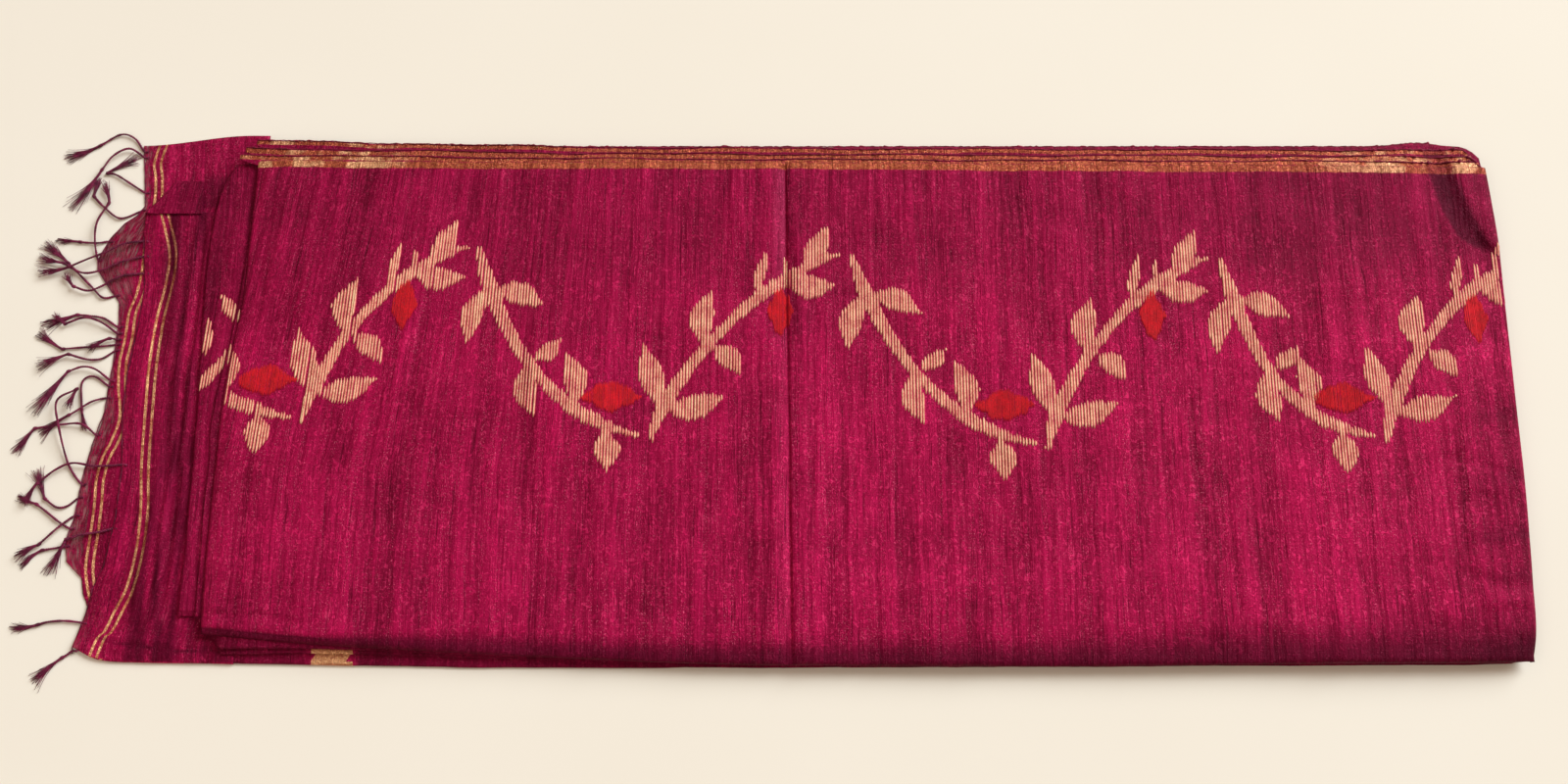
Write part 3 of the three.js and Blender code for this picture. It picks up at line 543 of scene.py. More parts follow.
    # Relief of the weave and the threads, and holes where the cloth is sheer.
    turn = 2 * math.pi / WEAVE_PITCH
    weave = n.times(n.math("SINE", n.times(s, turn)), n.math("SINE", n.times(t, turn)))
    height = n.times_plus(weave, 0.04, n.times(middle, 1.9))
    reliefs = ((wide, 4.5), (cloud, 6.0), (fine, 0.5), (worm, 1.05), (furrow, -0.3), (nub_and_glint, 0.12),
               (dark_thread, -0.5), (warp, 0.2))
    for part, weight in reliefs:
        height = n.times_plus(part, weight, height)
    n.bump(height, 0.0010, 1.0)
    open_weave = n.ramp(n.noise(s, t, 0.9, 14, 1.0, 0.5, 37.0), 0.38, 0.6, 0.25, 0.8)
    see = n.times(n.larger(sheer, 0.0), open_weave)
    see = n.times(see, n.minus(1.0, gold))
    n.look("Alpha", n.minus(1.0, see))
    n.look("Specular IOR Level", 0.07)
    return n.material


def thread_material(name, dark, light, rough):
    """Twisted or woven yarn, mottled between two colours."""
    n = Nodes(name)
    x, y = (n.times(value, 1000.0) for value in n.place()[:2])
    grain = n.noise(x, y, 0.8, 2.6, 3.0, 0.6)
    patch = n.noise(x, y, 9.0, 14.0, 2.0, 0.5, 4.0)
    value = n.plus(n.times(grain, 0.6), n.times(patch, 0.4))
    n.look("Base Color", n.mix(n.ramp(value, 0.36, 0.64), dark, light))
    n.bump(grain, 0.0003, 0.6)
    n.look("Roughness", rough)
    n.look("Sheen Weight", 0.04)
    n.look("Specular IOR Level", 0.3)
    return n.material


SILK = silk_material()
CORD = thread_material("fringe_yarn", rgb(62, 6, 30), rgb(140, 34, 76), 0.75)
VINE = thread_material("vine_weft", rgb(210, 116, 92), rgb(255, 208, 162), 0.55)
COPPER = thread_material("copper_weft", rgb(186, 40, 70), rgb(238, 104, 100), 0.6)
EDGE_YARN = thread_material("edge_yarn", rgb(92, 2, 30), rgb(156, 14, 62), 0.7)
BUD = thread_material("bud_weft", rgb(172, 0, 18), rgb(226, 0, 30), 0.8)


# ---------- the cloth ----------

def lean(x, y):
    """How far the weft threads lean to the right: most at the rear left."""
    return 0.13 * np.maximum(y + 90, 0) * fade((-60 - x) / 460)


def weave_of(x, y, shade):
    """The weave vector of cloth that lies along the stack."""
    return (x - lean(x, y), y, shade)


def from_centre(x, y):
    """How far right of the middle crease a place is."""
    return x - (2 + (262 - y) * 6 / 560 + 0.5 * ripple(y, 60, 18))


def centre_highlight(x, y):
    """A painted highlight: the paler band just left of the middle crease."""
    into = from_centre(x, y)
    patchiness = 0.85 + 0.3 * noise(x, y, 5, 34, 20)
    return patchiness * fade((into + 20) / 19) * fade((-0.3 - into) / 2) * (0.1 + 0.3 * fade((y - 20) / 130))


def centre_fold(x, y):
    """The long middle crease: a soft slope down from the left and a sharp lip on its right."""
    into = from_centre(x, y)
    slope = np.where(into < 0, np.exp(np.minimum(into, 0) / 8.5), np.exp(-np.maximum(into, 0) / 1.3))
    left = 1.2 * bell((into + 18) / 11)
    right = 1.5 * fade(into / 15) * np.exp(-np.maximum(into - 15, 0) / 28)
    return -3.0 * slope * (1 + 0.2 * noise(x, y, 90, 90, 19)) + left + right


# The puffed fold at the rear right corner: y, x of its crest, and width of its left side.
CORNER_FOLD = [(150, 781, 12), (172, 769, 34), (200, 759, 37), (241, 747, 36), (266, 743, 34),
               (300, 739, 34)]


def corner_fold(x, y):
    """How far left of the crest a place is, in widths of the fold's left side, and how full the fold is."""
    crest, wide = (straight(column(CORNER_FOLD, k), y) for k in (1, 2))
    return (crest - x) / wide, fade((y - 146) / 20)


def corner_rise(x, y):
    """Height of the puffed fold, with a hollow at its foot."""
    into, full = corner_fold(x, y)
    rise = np.where(into < 0, 1 - 0.6 * fade(-into), 1 - fade(into / 0.48))
    hollow = 0.5 * bell((into - 0.66) / 0.24)
    return 3.6 * (rise - hollow) * full


def corner_shadow(x, y):
    """Shade on the puffed fold's left side."""
    into, full = corner_fold(x, y)
    return 0.42 * fade((into - 0.02) / 0.2) * fade((1 - into) / 0.1) * full


LOWEST_RELIEF = -2.1       # where the face would meet the layer below it
# Soft waves of the top panel's face, those that lean with the weft, and those near the right fold.
FACE_WAVES = [(2.1, 150, 120, 3), (0.26, 14, 30, 8), (0.5, 60, 24, 9)]
WEFT_WAVES = [(1.2, 38, 300, 5), (0.75, 17, 130, 7)]
RIGHT_WAVES = [(0.35, 60, 30, 12), (0.5, 90, 80, 14)]


def panel_relief(x, y):
    """Height of the top panel's face above its flat level."""
    total = 1.1 + waves(x, y, FACE_WAVES) + waves(x - lean(x, y), y, WEFT_WAVES)
    total = total + fade((x - 640) / 120) * waves(x, y, RIGHT_WAVES)
    total = total + creased(x, y, PANEL_CREASES) + centre_fold(x, y) + corner_rise(x, y)
    total = np.maximum(total, LOWEST_RELIEF + fade((y - 215) / 15))
    over = np.clip((side("left", y) + 16 - x) / 16, 0, 1)
    return total * (1 - over) - (2.6 + 1.8 * fade((y - 150) / 30)) * over ** 2


def spread(stops, count):
    """About `count` places from the first stop to the last, closer where stops are (place, density)."""
    places, density = np.asarray(stops, float).T
    fine = np.linspace(places[0], places[-1], 4000)
    total = np.cumsum(np.interp(fine, places, density))
    total = (total - total[0]) / (total[-1] - total[0])
    return np.interp(np.linspace(0, 1, count), total, fine)


# x, and how far behind the front edge the top panel starts to sag and to darken with painted shade there.
FRONT_SAG_AND_SHADE = [(-560, 8), (-480, 9), (-310, 28), (-100, 29), (100, 36), (260, 35), (412, 47), (570, 55),
             (700, 59)]
# Hollows at the right edge with painted shade in them: y, half width, strength of the painted shade (which
# also sets how far the face sinks), and the x they start from.
EDGE_HOLLOWS = [(-162, 10, 0.34, 690), (-204, 6, 0.28, 705), (-100, 8, 0.2, 715), (-32, 9, 0.18, 700)]


def edge_hollows_and_shade(x, y):
    """Painted shade in the hollows at the right edge, which also sets how far the face sinks there."""
    tone = 0 * x
    for place, half, depth, start in EDGE_HOLLOWS:
        bend = place + 3.0 * ripple(x, 26, 131) + 0.06 * (x - 740)
        tone = tone + depth * bell((y - bend) / half) * fade((x - start) / 40)
    return tone


def top_panel():
    """Fourth pass: flat face, rolled down at the front and at the right."""
    across = spread([(PANEL_LEFT, 2.5), (-560, 1), (-34, 1), (-24, 2.5), (-12, 4), (-2, 8), (11, 8), (24, 3),
                     (40, 1), (640, 1.1), (700, 1.5), (714, 2.6), (PANEL_RIGHT, 2.6)], 250)
    back = spread([(0, 2.5), (0.06, 1.2), (0.9, 1), (1, 2)], 122)
    roll = np.radians([12, 25, 38, 50, 62, 74, 84, 92, 102, 114, 128, 144])
    rows = np.concatenate([back, np.ones(len(roll))])[:, None]
    row_turn = np.concatenate([np.zeros(len(back)), roll])[:, None]
    cols = np.concatenate([across, np.full(len(roll), float(PANEL_RIGHT))])[None, :]
    col_turn = np.concatenate([np.zeros(len(across)), roll])[None, :]
    rear = 264 - 9 * (cols - PANEL_LEFT) / (PANEL_RIGHT - PANEL_LEFT)
    y = rear + (-280 - rear) * rows
    # Where a column stands depends on y and where a row stands depends on x, so both are found in turns.
    for _ in range(2):
        left, right = side("left", y), side("right", np.maximum(y, -290))
        x = cols + (left - PANEL_LEFT) * fade((PANEL_LEFT + 200 - cols) / 200)
        right_shift = (right - SIDE_REACH - PANEL_RIGHT) * fade((cols - 560) / (PANEL_RIGHT - 560))
        x = np.where(cols > 560, cols + right_shift, x)
        nose = front("top", x)
        y = rear + (nose + NOSE_REACH - rear) * rows
    x = x + SIDE_REACH * np.sin(np.minimum(col_turn, QUARTER)) - 3.0 * fade(col_turn - QUARTER)
    y = y - NOSE_REACH * np.sin(np.minimum(row_turn, QUARTER)) + 3.0 * fade(row_turn - QUARTER)

    reach = straight(FRONT_SAG_AND_SHADE, x)
    sag_and_shade = fade((reach - (y - nose)) / (reach - 6))
    hollows_and_shade = edge_hollows_and_shade(x, y)
    relief = panel_relief(x, y) + 0.25 * ripple(x, 9, 21) * fade((y - 240) / 14)
    relief = np.maximum(relief - 1.5 * sag_and_shade - 1.6 * hollows_and_shade, LOWEST_RELIEF)
    drop = TOP_LEVEL - LID_FOOT_LEVEL
    flat = np.cos(np.minimum(row_turn, QUARTER)) * np.cos(np.minimum(col_turn, QUARTER))
    curl = fade(row_turn - QUARTER) + 4.0 * fade(col_turn - QUARTER)
    level = TOP_LEVEL - drop * (1 - flat) - curl + relief * np.maximum(flat, 0.35)

    ragged = 0.5 * ripple(x, 5, 30)
    zone = (FAR, rear - y + ragged, -centre_highlight(x, y))
    # Darker towards the rear and at the rear right, painted shadow on the corner fold's left side, darker at
    # the right end's front, and painted shade on the front sag and in the right edge's hollows.
    rear_right = fade((x - 300) / 300) * fade((y - 90) / 90)
    shade = 0.22 * fade((y - 20) / 170) + 0.22 * rear_right + corner_shadow(x, y)
    shade = shade + 0.18 * fade((x - 670) / 90) * fade((60 - y) / 90) + 0.76 * sag_and_shade + hollows_and_shade
    shade = np.clip(shade, 0, 0.86)
    grid = grid_of(x, y, level * loft(x))
    piece = cloth("saree_top_panel", grid, weave_of(x, y, shade), zone, "top_panel")


def fold_relief(x, y):
    """Height of the left fold's face above its flat level."""
    return creased(x, y, FOLD_CREASES) + 0.25 * noise(x, y, 12, 70, 52)


def side_fold(name, node, which, ys, bottom, height, reach):
    """Turn of the cloth at the left: an upper arm, a round edge and a lower arm.

    `reach` is how far the round edge stands out from its arms.
    """
    middle = bottom + height / 2
    steps = 22
    arm = np.linspace(0, 1, steps)
    turns = np.radians(np.linspace(8, 172, 15))
    y = ys[:, None]
    end = side("left", y) + 15.0
    edge = fold_edge(which, y) + 0.5 * ripple(y, 24, 44)
    start = edge + reach
    shrink = fade((y - ys[0] + 1.0) / 9.0) * 0.8 + 0.2
    upper = end + (start - end) * arm[None, :]
    lower = upper[:, ::-1]
    round_x = edge + reach * (1 - np.sin(turns))[None, :]
    x = np.concatenate([upper, round_x, lower], 1)
    half = height / 2 * np.concatenate([np.ones(steps), np.cos(turns), -np.ones(steps)])[None, :]
    relief = fold_relief(x, y)
    top = np.concatenate([np.ones(steps), np.maximum(np.cos(turns), 0), np.zeros(steps)])[None, :]
    level = middle - (1 - shrink) * height * 0.35 + half * shrink + relief * top * 0.8
    # Painted shade over the fold, more on its round edge and lower arm, with uneven patches and more towards
    # the rear.
    shade = 0.36 + 0.1 * (1 - top) + 0.12 * noise(x, y, 9, 60, 53) + 0.08 * fade((y - 60) / 80)
    weave = (x - end + 0.02 * y + 620, y, shade)
    piece = cloth(name, grid_of(x, y, level * loft(x)), weave, NOWHERE, node)


def pallu_upper():
    """Upper ply of the pallu, wrapped round the front edge to the floor."""
    flat = np.linspace(0, 1, 150)
    turns = np.radians(np.linspace(10, 180, 18))
    rows = np.concatenate([flat, np.ones(len(turns) + 3)])[:, None]
    turn = np.concatenate([np.zeros(len(flat)), turns, np.full(3, math.pi)])[:, None]
    inward = np.concatenate([np.zeros(len(rows) - 3), [2.5, 5.0, 8.0]])[:, None]
    share = spread([(0, 2), (0.2, 1.2), (1, 1)], 64)[None, :]
    y = PALLU_REAR + (-286 - PALLU_REAR) * rows + 0 * share
    for _ in range(3):
        edge = straight(PALLU_UPPER_EDGE, y) + 0.6 * ripple(y, 7, 61)
        end = side("left", y) + PALLU_TUCK + 26.0 * fade((-250 - y) / 20)
        x = edge + (end - edge) * share
        nose = read(PALLU_FRONT, x)
        y = PALLU_REAR + (nose + PALLU_REACH - PALLU_REAR) * rows
    x = x + 8 * np.sin(turn / 2) * (1 - share) ** 2
    y = y - PALLU_REACH * np.sin(np.minimum(turn, math.pi)) + inward
    relief = (0.45 + 0.35 * np.sin(x / 6.5 + y / 55) + 0.3 * noise(x, y, 14, 120, 63)
              + creased(x, y, PALLU_CREASES))
    relief = np.maximum(relief, -0.9) * fade((PALLU_REAR - 4 - y) / 30)
    swell = fade((nose + 34 - y) / 30)
    upper = PALLU_LEVEL + relief * (1 - 0.5 * swell) + (PALLU_HEIGHT - PALLU_LEVEL) * swell
    low = PALLU_HEIGHT / 2 * (1 + np.cos(turn))
    level = np.where(turn > 0, low * upper / PALLU_HEIGHT + 0 * x, upper)
    grid = grid_of(x, y, np.maximum(level * loft(x), SILK_THICK * (turn > 3.0)))
    line = x - read(UPPER_LINE, np.where(turn > 0, -266 - 6 * turn, y))
    sheer = 0.55 * fade((-line - 1) / 5)
    # Painted shadow of the left fold next to it, and painted shade along the crease near the front.
    near_fold = fade((x + 684) / 10) * (0.5 + 0.5 * noise(x, y, 7, 70, 65) + 0.25 * noise(x, y, 16, 90, 66))
    front_line = straight([(-706, -266), (-622, -279.5), (-560, -274)], x)
    under_line = 0.55 * bell((y - front_line) / 2.0) * fade((x + 712) / 12)
    shade = np.clip(0.8 * near_fold + 0.12 * noise(x, y, 20, 50, 67) + under_line, 0, 0.8) * (turn < 0.5)
    weave = (x - straight(PALLU_UPPER_EDGE, y) * 0.6 - 260, y, shade)
    piece = cloth("saree_pallu_upper", grid, weave, (line, FAR, sheer), "pallu_upper")


def pallu_lower():
    """Lower ply of the pallu, flat on the surface, thin and open at its free edge."""
    rows = np.linspace(0, 1, 190)[:, None]
    share = spread([(0, 2.6), (0.25, 1.4), (1, 0.6)], 44)[None, :]
    y = 287 + (-273 - 287) * rows + 0 * share
    for _ in range(2):
        edge = straight(PALLU_LOWER_EDGE, y) + 0.8 * ripple(y, 6, 71)
        end = side("left", y) + PALLU_TUCK
        x = edge + (end - edge) * share
        rear = 288 + 12 * fade((x + 716) / 120)
        low = read(PALLU_FRONT, x) + PALLU_REACH + 10.3
        y = rear + (low - rear) * rows
    lift = creased(x, y, LOWER_CREASES) * fade((x - edge + 2) / 8)
    open_top = fade((y - 209) / 6)
    hidden = fade((x - straight(PALLU_UPPER_EDGE, y)) / 4) * (1 - open_top)
    ruffle = 0.5 * (1 + noise(x, y, 18, 22, 73)) + np.maximum(lift, 0)
    z = 0.9 + ruffle * (1 - hidden) * 0.8
    line = x - read(LOWER_LINE, y)
    sheer = 0.75 * fade((-line - 1) / 4)
    # Painted shade beside the left fold, right of the flap.
    beside_fold = fade((x + 650) / 12) * fade((258 - y) / 16) * (1 - hidden)
    weave = (x - edge * 0.5 - 300, y, 0.14 + 0.5 * beside_fold)
    zone = (line, FAR, sheer)
    piece = cloth("saree_pallu_lower", grid_of(x, y, z), weave, zone, "pallu_lower")


# The turned-down corner: y, x of its left and right ends, and level.
FLAP = [(204.5, -705, -643, 3.0), (208.5, -703, -643, 3.0), (216, -697, -643, 2.3), (226, -689, -644, 1.8),
        (236, -680, -645, 1.6), (244, -676, -645, 1.6)]


def pallu_flap():
    """The turned-down corner on the end of the upper ply."""
    y = np.linspace(FLAP[-1][0], FLAP[0][0], 34)[:, None]
    left, right = (straight(column(FLAP, k), y) for k in (1, 2))
    lift = read(column(FLAP, 3), y)
    share = np.linspace(0, 1, 46)[None, :]
    x = left + (right - left) * share
    roll = 2.4 * bell((x - left - 2.6) / 2.6) + 0.5 * (1 + noise(x, y, 9, 40, 81))
    roll = roll + 0.5 * fade((208 - y) / 4)
    grid = grid_of(x, y, (lift + 0.7 + roll) * FLOOR_LOFT)
    weave = weave_of(x, y, 0.46 + 0.12 * fade((x + 690) / 50))
    piece = cloth("saree_pallu_flap", grid, weave, NOWHERE, "pallu_flap")


SELVEDGE_LIFT = (0.75, 0.5, 0.3)      # share of the corner fold that each selvedge follows
SELVEDGE_INNER = 232.6                # where the strips end under the top panel


def rear_line(line, left, right, phase, x):
    """Where a selvedge's edge runs, with its slow waves."""
    y_left, y_mid, y_right = line
    rows = [(left, y_left), (left * 0.4, y_left + (y_mid - y_left) * 0.8), (0, y_mid), (right, y_right)]
    return read(rows, x) + 0.7 * np.sin(x / 41 + phase) + 0.4 * np.sin(x / 17)


def rounded(x, right):
    """How far a rear edge comes forward at its right end."""
    return 7 * fade((x - right + 14) / 14) ** 2


def selvedge(row, index):
    """A gold-bordered rear edge that steps out from under the top panel."""
    share = np.linspace(0, 1, 420)[None, :]
    left, right = row["left"], row["right"]
    x = left + (right - left) * share
    edge = rear_line(row["line"], left, right, row["bottom"], x) + 0.35 * ripple(x, 6, 90 + index)
    edge = edge - rounded(x, right)
    depth = np.linspace(0, 1, 26)[:, None]
    y = edge + (SELVEDGE_INNER - edge) * depth
    hidden = fade((edge - y - 5) / 12) * fade((left + 60 - x) / 60)
    x = x + (side("left", y) + 6 - left) * hidden
    wave = waves(x, y, [(0.35, 60, 40, 95 + index), (0.25, 14, 12, 99 + index)])
    droop = 0.5 * fade((y - edge + 7) / 7)
    level = row["bottom"] + 0.95 + wave * fade((y - 240) / 10) - droop
    level = level + SELVEDGE_LIFT[index] * corner_rise(x, y)
    grid = grid_of(x, y, level * loft(x))
    inset = 0.7 + 0.5 * ripple(x, 30, 105 + index)
    zone = (FAR, (edge - y - inset) * BORDER_WIDTH / row["border"], 0)
    # Each lower strip is darker, and the corner fold's painted shadow lies on it.
    weave = weave_of(x, y + index * 31.0, 0.22 + 0.08 * index + corner_shadow(x, y))
    piece = cloth("saree_" + row["node"], grid, weave, zone, row["node"])


def rear_bulge(x):
    """How far the lowest layers stand out at the rear, near the right corner."""
    return 4.2 * bell((x - 706) / 28)


def edge_yarn():
    """The rough outermost weft turns along each rear edge, with slubs here and there."""
    strands = Strands()
    rng = np.random.default_rng(31)
    rows = [(row["left"] + 1, row["right"] - 1, row["line"], row["bottom"] + 0.6, row["bottom"], lift)
            for row, lift in zip(SELVEDGES, SELVEDGE_LIFT)]
    # The rear of the lowest layers, which has no line of its own.
    rows.append((-560, 742, None, 2.7, 3.0, 0.0))
    for left, right, line, level, seed, lift in rows:
        x = np.arange(left, right, 1.3)
        edge = rear_line(line, left, right, seed, x) if line else CORE_REAR - 1.0 + rear_bulge(x)
        lump = np.maximum(ripple(x, 3.4, 160 + int(seed)), 0) ** 3
        lump = lump * (1 + 1.4 * fade((x - 610) / 60))
        thick = 0.42 + 0.2 * rng.random(len(x)) + 1.1 * lump
        y = edge - rounded(x, right) + 0.25 + 0.4 * ripple(x, 3, 170 + int(seed))
        up = level + lift * corner_rise(x, y)
        strands.tube(grid_of(x, y, up * loft(x) + 0.2 * rng.random(len(x))), thick, 5)
    mesh_piece("saree_edge_yarn", strands.points, strands.faces, EDGE_YARN)


# The hidden layers' bulge for each pass: its noise seed, then rows of level, and of how far
# the front, rear, left and right sides stay in.
CORE_PASSES = {
    "first": (110, [
        (0, 3, 3, 8, 4), (0.5, 1.3, 1.4, 8, 2), (1.2, 0.5, 0.7, 8, 0.9), (1.9, 0.3, 1.3, 8, 0.5),
        (2.7, 0.6, 0.5, 8, 0.7), (3.3, 1.6, 1.2, 8, 1.6), (3.7, 4.2, 3.2, 8, 3.6)]),
    "second": (120, [
        (3.9, 5, 5, 16, 4.6), (4.3, 2.2, 3.4, 16, 2.6), (5, 0.8, 2.8, 16, 1.4), (5.8, 0.4, 3.6, 16, 1),
        (6.6, 0.7, 2.6, 16, 1.2), (7.2, 1.8, 3.6, 16, 2.2), (7.6, 4.4, 5.4, 16, 4.8)]),
    "third": (130, [
        (7.8, 5, 6.5, 16, 6.5), (8.1, 2.8, 5.4, 16, 7), (8.5, 1.8, 6.4, 16, 7),
        (8.65, 1.4, STEP_IN, 16, 7), (9.4, 0.6, STEP_IN, 16, 7), (10.3, 0.4, STEP_IN, 16, 7),
        (11.1, 1, STEP_IN, 16, 7), (11.7, 3, STEP_IN, 16, 8)]),
    "top": (140, [
        (11.9, 4.6, STEP_IN, 18, 78), (12.5, 5, STEP_IN, 18.5, 78)]),
}


def core_ring(fold, seed, level, in_front, in_back, in_left, in_right):
    """One level's outline of the hidden layers, from the front left corner round to the right."""
    front_y = -280
    long_share = np.linspace(0.004, 0.996, 190)
    short_share = np.linspace(0.01, 0.99, 60)
    left = lambda y: side("left", y) + in_left
    right = lambda y: side("right", y) - in_right
    wander = lambda v, more: 0.9 * ripple(v, 46, seed + more) + 0.35 * ripple(v, 11, seed + 5)
    rear = CORE_REAR - in_back
    at_rear = in_back < STEP_IN
    x = left(front_y) + (right(front_y) - left(front_y)) * long_share
    tuck = 1.6 * fade((-566 - x) / 8) * (fold == "first")
    corner_in = 9.0 * (1 - fade((right(front_y) - x) / 26)) ** 2
    nose = front(fold, x) + in_front + 0.5 * (1 + wander(x, 1)) + tuck + corner_in
    y_right = nose[-1] + (rear - 9.0 * at_rear - nose[-1]) * short_share
    bow = 4.0 * (1 - fade((y_right - nose[-1]) / 20)) ** 2
    x_right = right(y_right) - 0.5 * (1 + wander(y_right, 2)) - bow
    x_rear = left(rear) + (right(rear) - left(rear)) * long_share[::-1]
    rounding = 9.0 * fade((x_rear - right(rear) + 26) / 26) ** 2
    y_rear = rear + at_rear * (rear_bulge(x_rear) - 0.4 * (1 + wander(x_rear, 3)) - rounding)
    y_left = nose[0] + (rear - nose[0]) * short_share[::-1]
    ring_x = np.concatenate([x, x_right, x_rear, left(y_left)])
    return grid_of(ring_x, np.concatenate([nose, y_right, y_rear, y_left]), level * loft(ring_x))


def core_layers():
    """Hidden layers: one solid whose edges show a soft bulge for each pass."""
    passes = [(fold, seed, *row) for fold, (seed, rows) in CORE_PASSES.items() for row in rows]
    rings = np.stack([core_ring(*level) for level in passes])
    levels, count = rings.shape[:2]
    cell = np.arange(levels * count).reshape(levels, count)
    after = np.roll(cell, -1, axis=1)
    sides = np.stack([cell[:-1], after[:-1], after[1:], cell[1:]], -1).reshape(-1, 4).tolist()
    bottom, top = levels * count, levels * count + 1
    fans = [[int(b), int(a), bottom] for a, b in zip(cell[0], after[0])]
    fans += [[int(a), int(b), top] for a, b in zip(cell[-1], after[-1])]
    middles = [rings[0].mean(0), rings[-1].mean(0)]
    points = np.concatenate([rings.reshape(-1, 3), middles])
    piece = mesh_piece("saree_hidden_layers", points, sides + fans, SILK)
    x, y, z = points.T
    gold = (np.exp(-((x + 462) / 23) ** 8) > 0.5) & (y < -270) & (z < 8.6)
    # Painted shade on the hidden layers, except on the gold patch.
    attribute(piece, "weave", grid_of(x, y + z * 6, 0.5 * ~gold))
    attribute(piece, "zone", grid_of(np.where(gold, LINE_WIDTH / 2, FAR), FAR, 0))
    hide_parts("core_layers")


# ---------- the vine ----------

def panel_height(x, y):
    """Height of the top panel's face in millimetres, for what lies on it."""
    right = side("right", y)
    into = np.clip((x - (right - SIDE_REACH)) / SIDE_REACH, 0, 0.999)
    drop = (TOP_LEVEL - LID_FOOT_LEVEL) * (1 - np.sqrt(1 - into * into))
    return (TOP_LEVEL + panel_relief(x, y) - drop) * loft(x)


# Crests and valleys of the vine's stem along the panel.
STEM = [(-735, 150), (-529, -32), (-342, 157), (-160, -51), (64, 149), (258, -61), (464, 143), (615, -54),
        (812, 142)]
# Leaves: share of the way along the branch, side (+1 above), direction in degrees, length, width
# and bow of the spine as a share of the length.
FALL_LEAVES = [
    (0.20, 1, -24, 60, 27, 0.06), (0.19, -1, -103, 66, 25, -0.06), (0.53, 1, 43, 38, 20, -0.05),
    (0.52, -1, -76, 58, 25, -0.08), (0.75, 1, 103, 60, 26, -0.08), (0.88, -1, -84, 46, 28, 0.04),
]
RISE_LEAVES = [
    (0.18, 1, 104, 72, 26, 0), (0.17, -1, 17, 66, 29, -0.06), (0.45, 1, 79, 64, 27, 0.10),
    (0.47, -1, -48, 44, 25, 0.08), (0.70, 1, 78, 52, 12, 0), (0.82, 1, 88, 22, 6, 0),
    (0.90, 1, 60, 52, 24, -0.06), (0.80, -1, 0, 56, 28, -0.05), (0.96, 1, 10, 30, 8, 0),
]
# Buds: x and y from the branch's end, width and height.
BUDS = {"fall": (-24, 41, 64, 36), "rise": (-68, -63, 28, 58)}

# What shows of the vine on the left fold: a stem, and leaves as foot, degrees, length and width.
FOLD_STEM = [(-629, 0), (-612, 20), (-604, 30), (-582, 54)]
FOLD_LEAVES = [((-621, 38), 93, 46, 17), ((-586, 76), 128, 42, 16)]


def bezier(points, t):
    """Places on a cubic curve with four control points."""
    a, b, c, d = (np.asarray(p, float) for p in points)
    t = np.asarray(t, float)[..., None]
    s = 1 - t
    return a * s ** 3 + 3 * b * s * s * t + 3 * c * s * t * t + d * t ** 3


def branch_curve(start, end, rising):
    """Control points of one branch of the stem."""
    x0, y0 = start
    x1, y1 = end
    if rising:
        return [(x0 + 19, y0 - 8), (x0 + 26, y0 + 52), (x1 - 95, y1 - 26), (x1 - 16, y1 - 4)]
    return [(x0 + 9, y0 + 4), (x0 + 26, y0 - 70), (x1 - 100, y1 + 14), (x1 + 8, y1 - 1)]


def stem_outline(curve):
    """Closed outline of a stem along a curve, thinner at its ends."""
    t = np.linspace(0, 1, 60)
    path = bezier(curve, t)
    along = np.gradient(path, axis=0)
    along /= np.linalg.norm(along, axis=1, keepdims=True)
    side_way = np.stack([-along[:, 1], along[:, 0]], -1)
    half = (7.4 + 1.0 * np.sin(t * 9)) * np.minimum(1, 0.4 + 3.4 * np.minimum(t, 1 - t))
    return np.concatenate([path + side_way * half[:, None], (path - side_way * half[:, None])[::-1]])


def leaf_outline(base, degrees, length, width, bow):
    """Closed outline of a leaf, from its foot."""
    s = np.linspace(0, 1, 30)
    half = 0.5 * width * np.sin(math.pi * s ** 0.85) ** 1.12 + 0.6 * (1 - s)
    spine = np.stack([s * length, bow * length * np.sin(math.pi * s)], -1)
    out = np.stack([0 * s, half], -1)
    shape = np.concatenate([spine + out, (spine - out)[::-1]])
    angle = math.radians(degrees)
    c, v = math.cos(angle), math.sin(angle)
    return np.asarray(base) + shape @ np.array([[c, v], [-v, c]])


def spans_at(outline, x):
    """Where a vertical line at x lies inside a closed outline."""
    nxt = np.roll(outline, -1, axis=0)
    hit = (outline[:, 0] <= x) != (nxt[:, 0] <= x)
    a, b = outline[hit], nxt[hit]
    ys = np.sort(a[:, 1] + (x - a[:, 0]) / (b[:, 0] - a[:, 0]) * (b[:, 1] - a[:, 1]))
    return list(zip(ys[::2], ys[1::2]))


def threads_in(outlines, pitch, rng, ragged):
    """Weft threads (x, low, high) that fill outlines, joined where the outlines overlap.

    `ragged` is how far their ends may be off the outline.
    """
    lows = min(o[:, 0].min() for o in outlines)
    highs = max(o[:, 0].max() for o in outlines)
    found = []
    for k in range(math.ceil(lows / pitch), math.floor(highs / pitch) + 1):
        x = k * pitch
        near = [o for o in outlines if o[:, 0].min() < x < o[:, 0].max()]
        spans = sorted(sum((spans_at(o, x) for o in near), []))
        joined = []
        for low, high in spans:
            if joined and low <= joined[-1][1] + 0.8:
                joined[-1][1] = max(joined[-1][1], high)
            else:
                joined.append([low, high])
        for low, high in joined:
            low, high = low + rng.uniform(-ragged, ragged), high + rng.uniform(-ragged, ragged)
            if high - low > 2.2:
                found.append((x + rng.uniform(-0.25, 0.25), low, high))
    return found


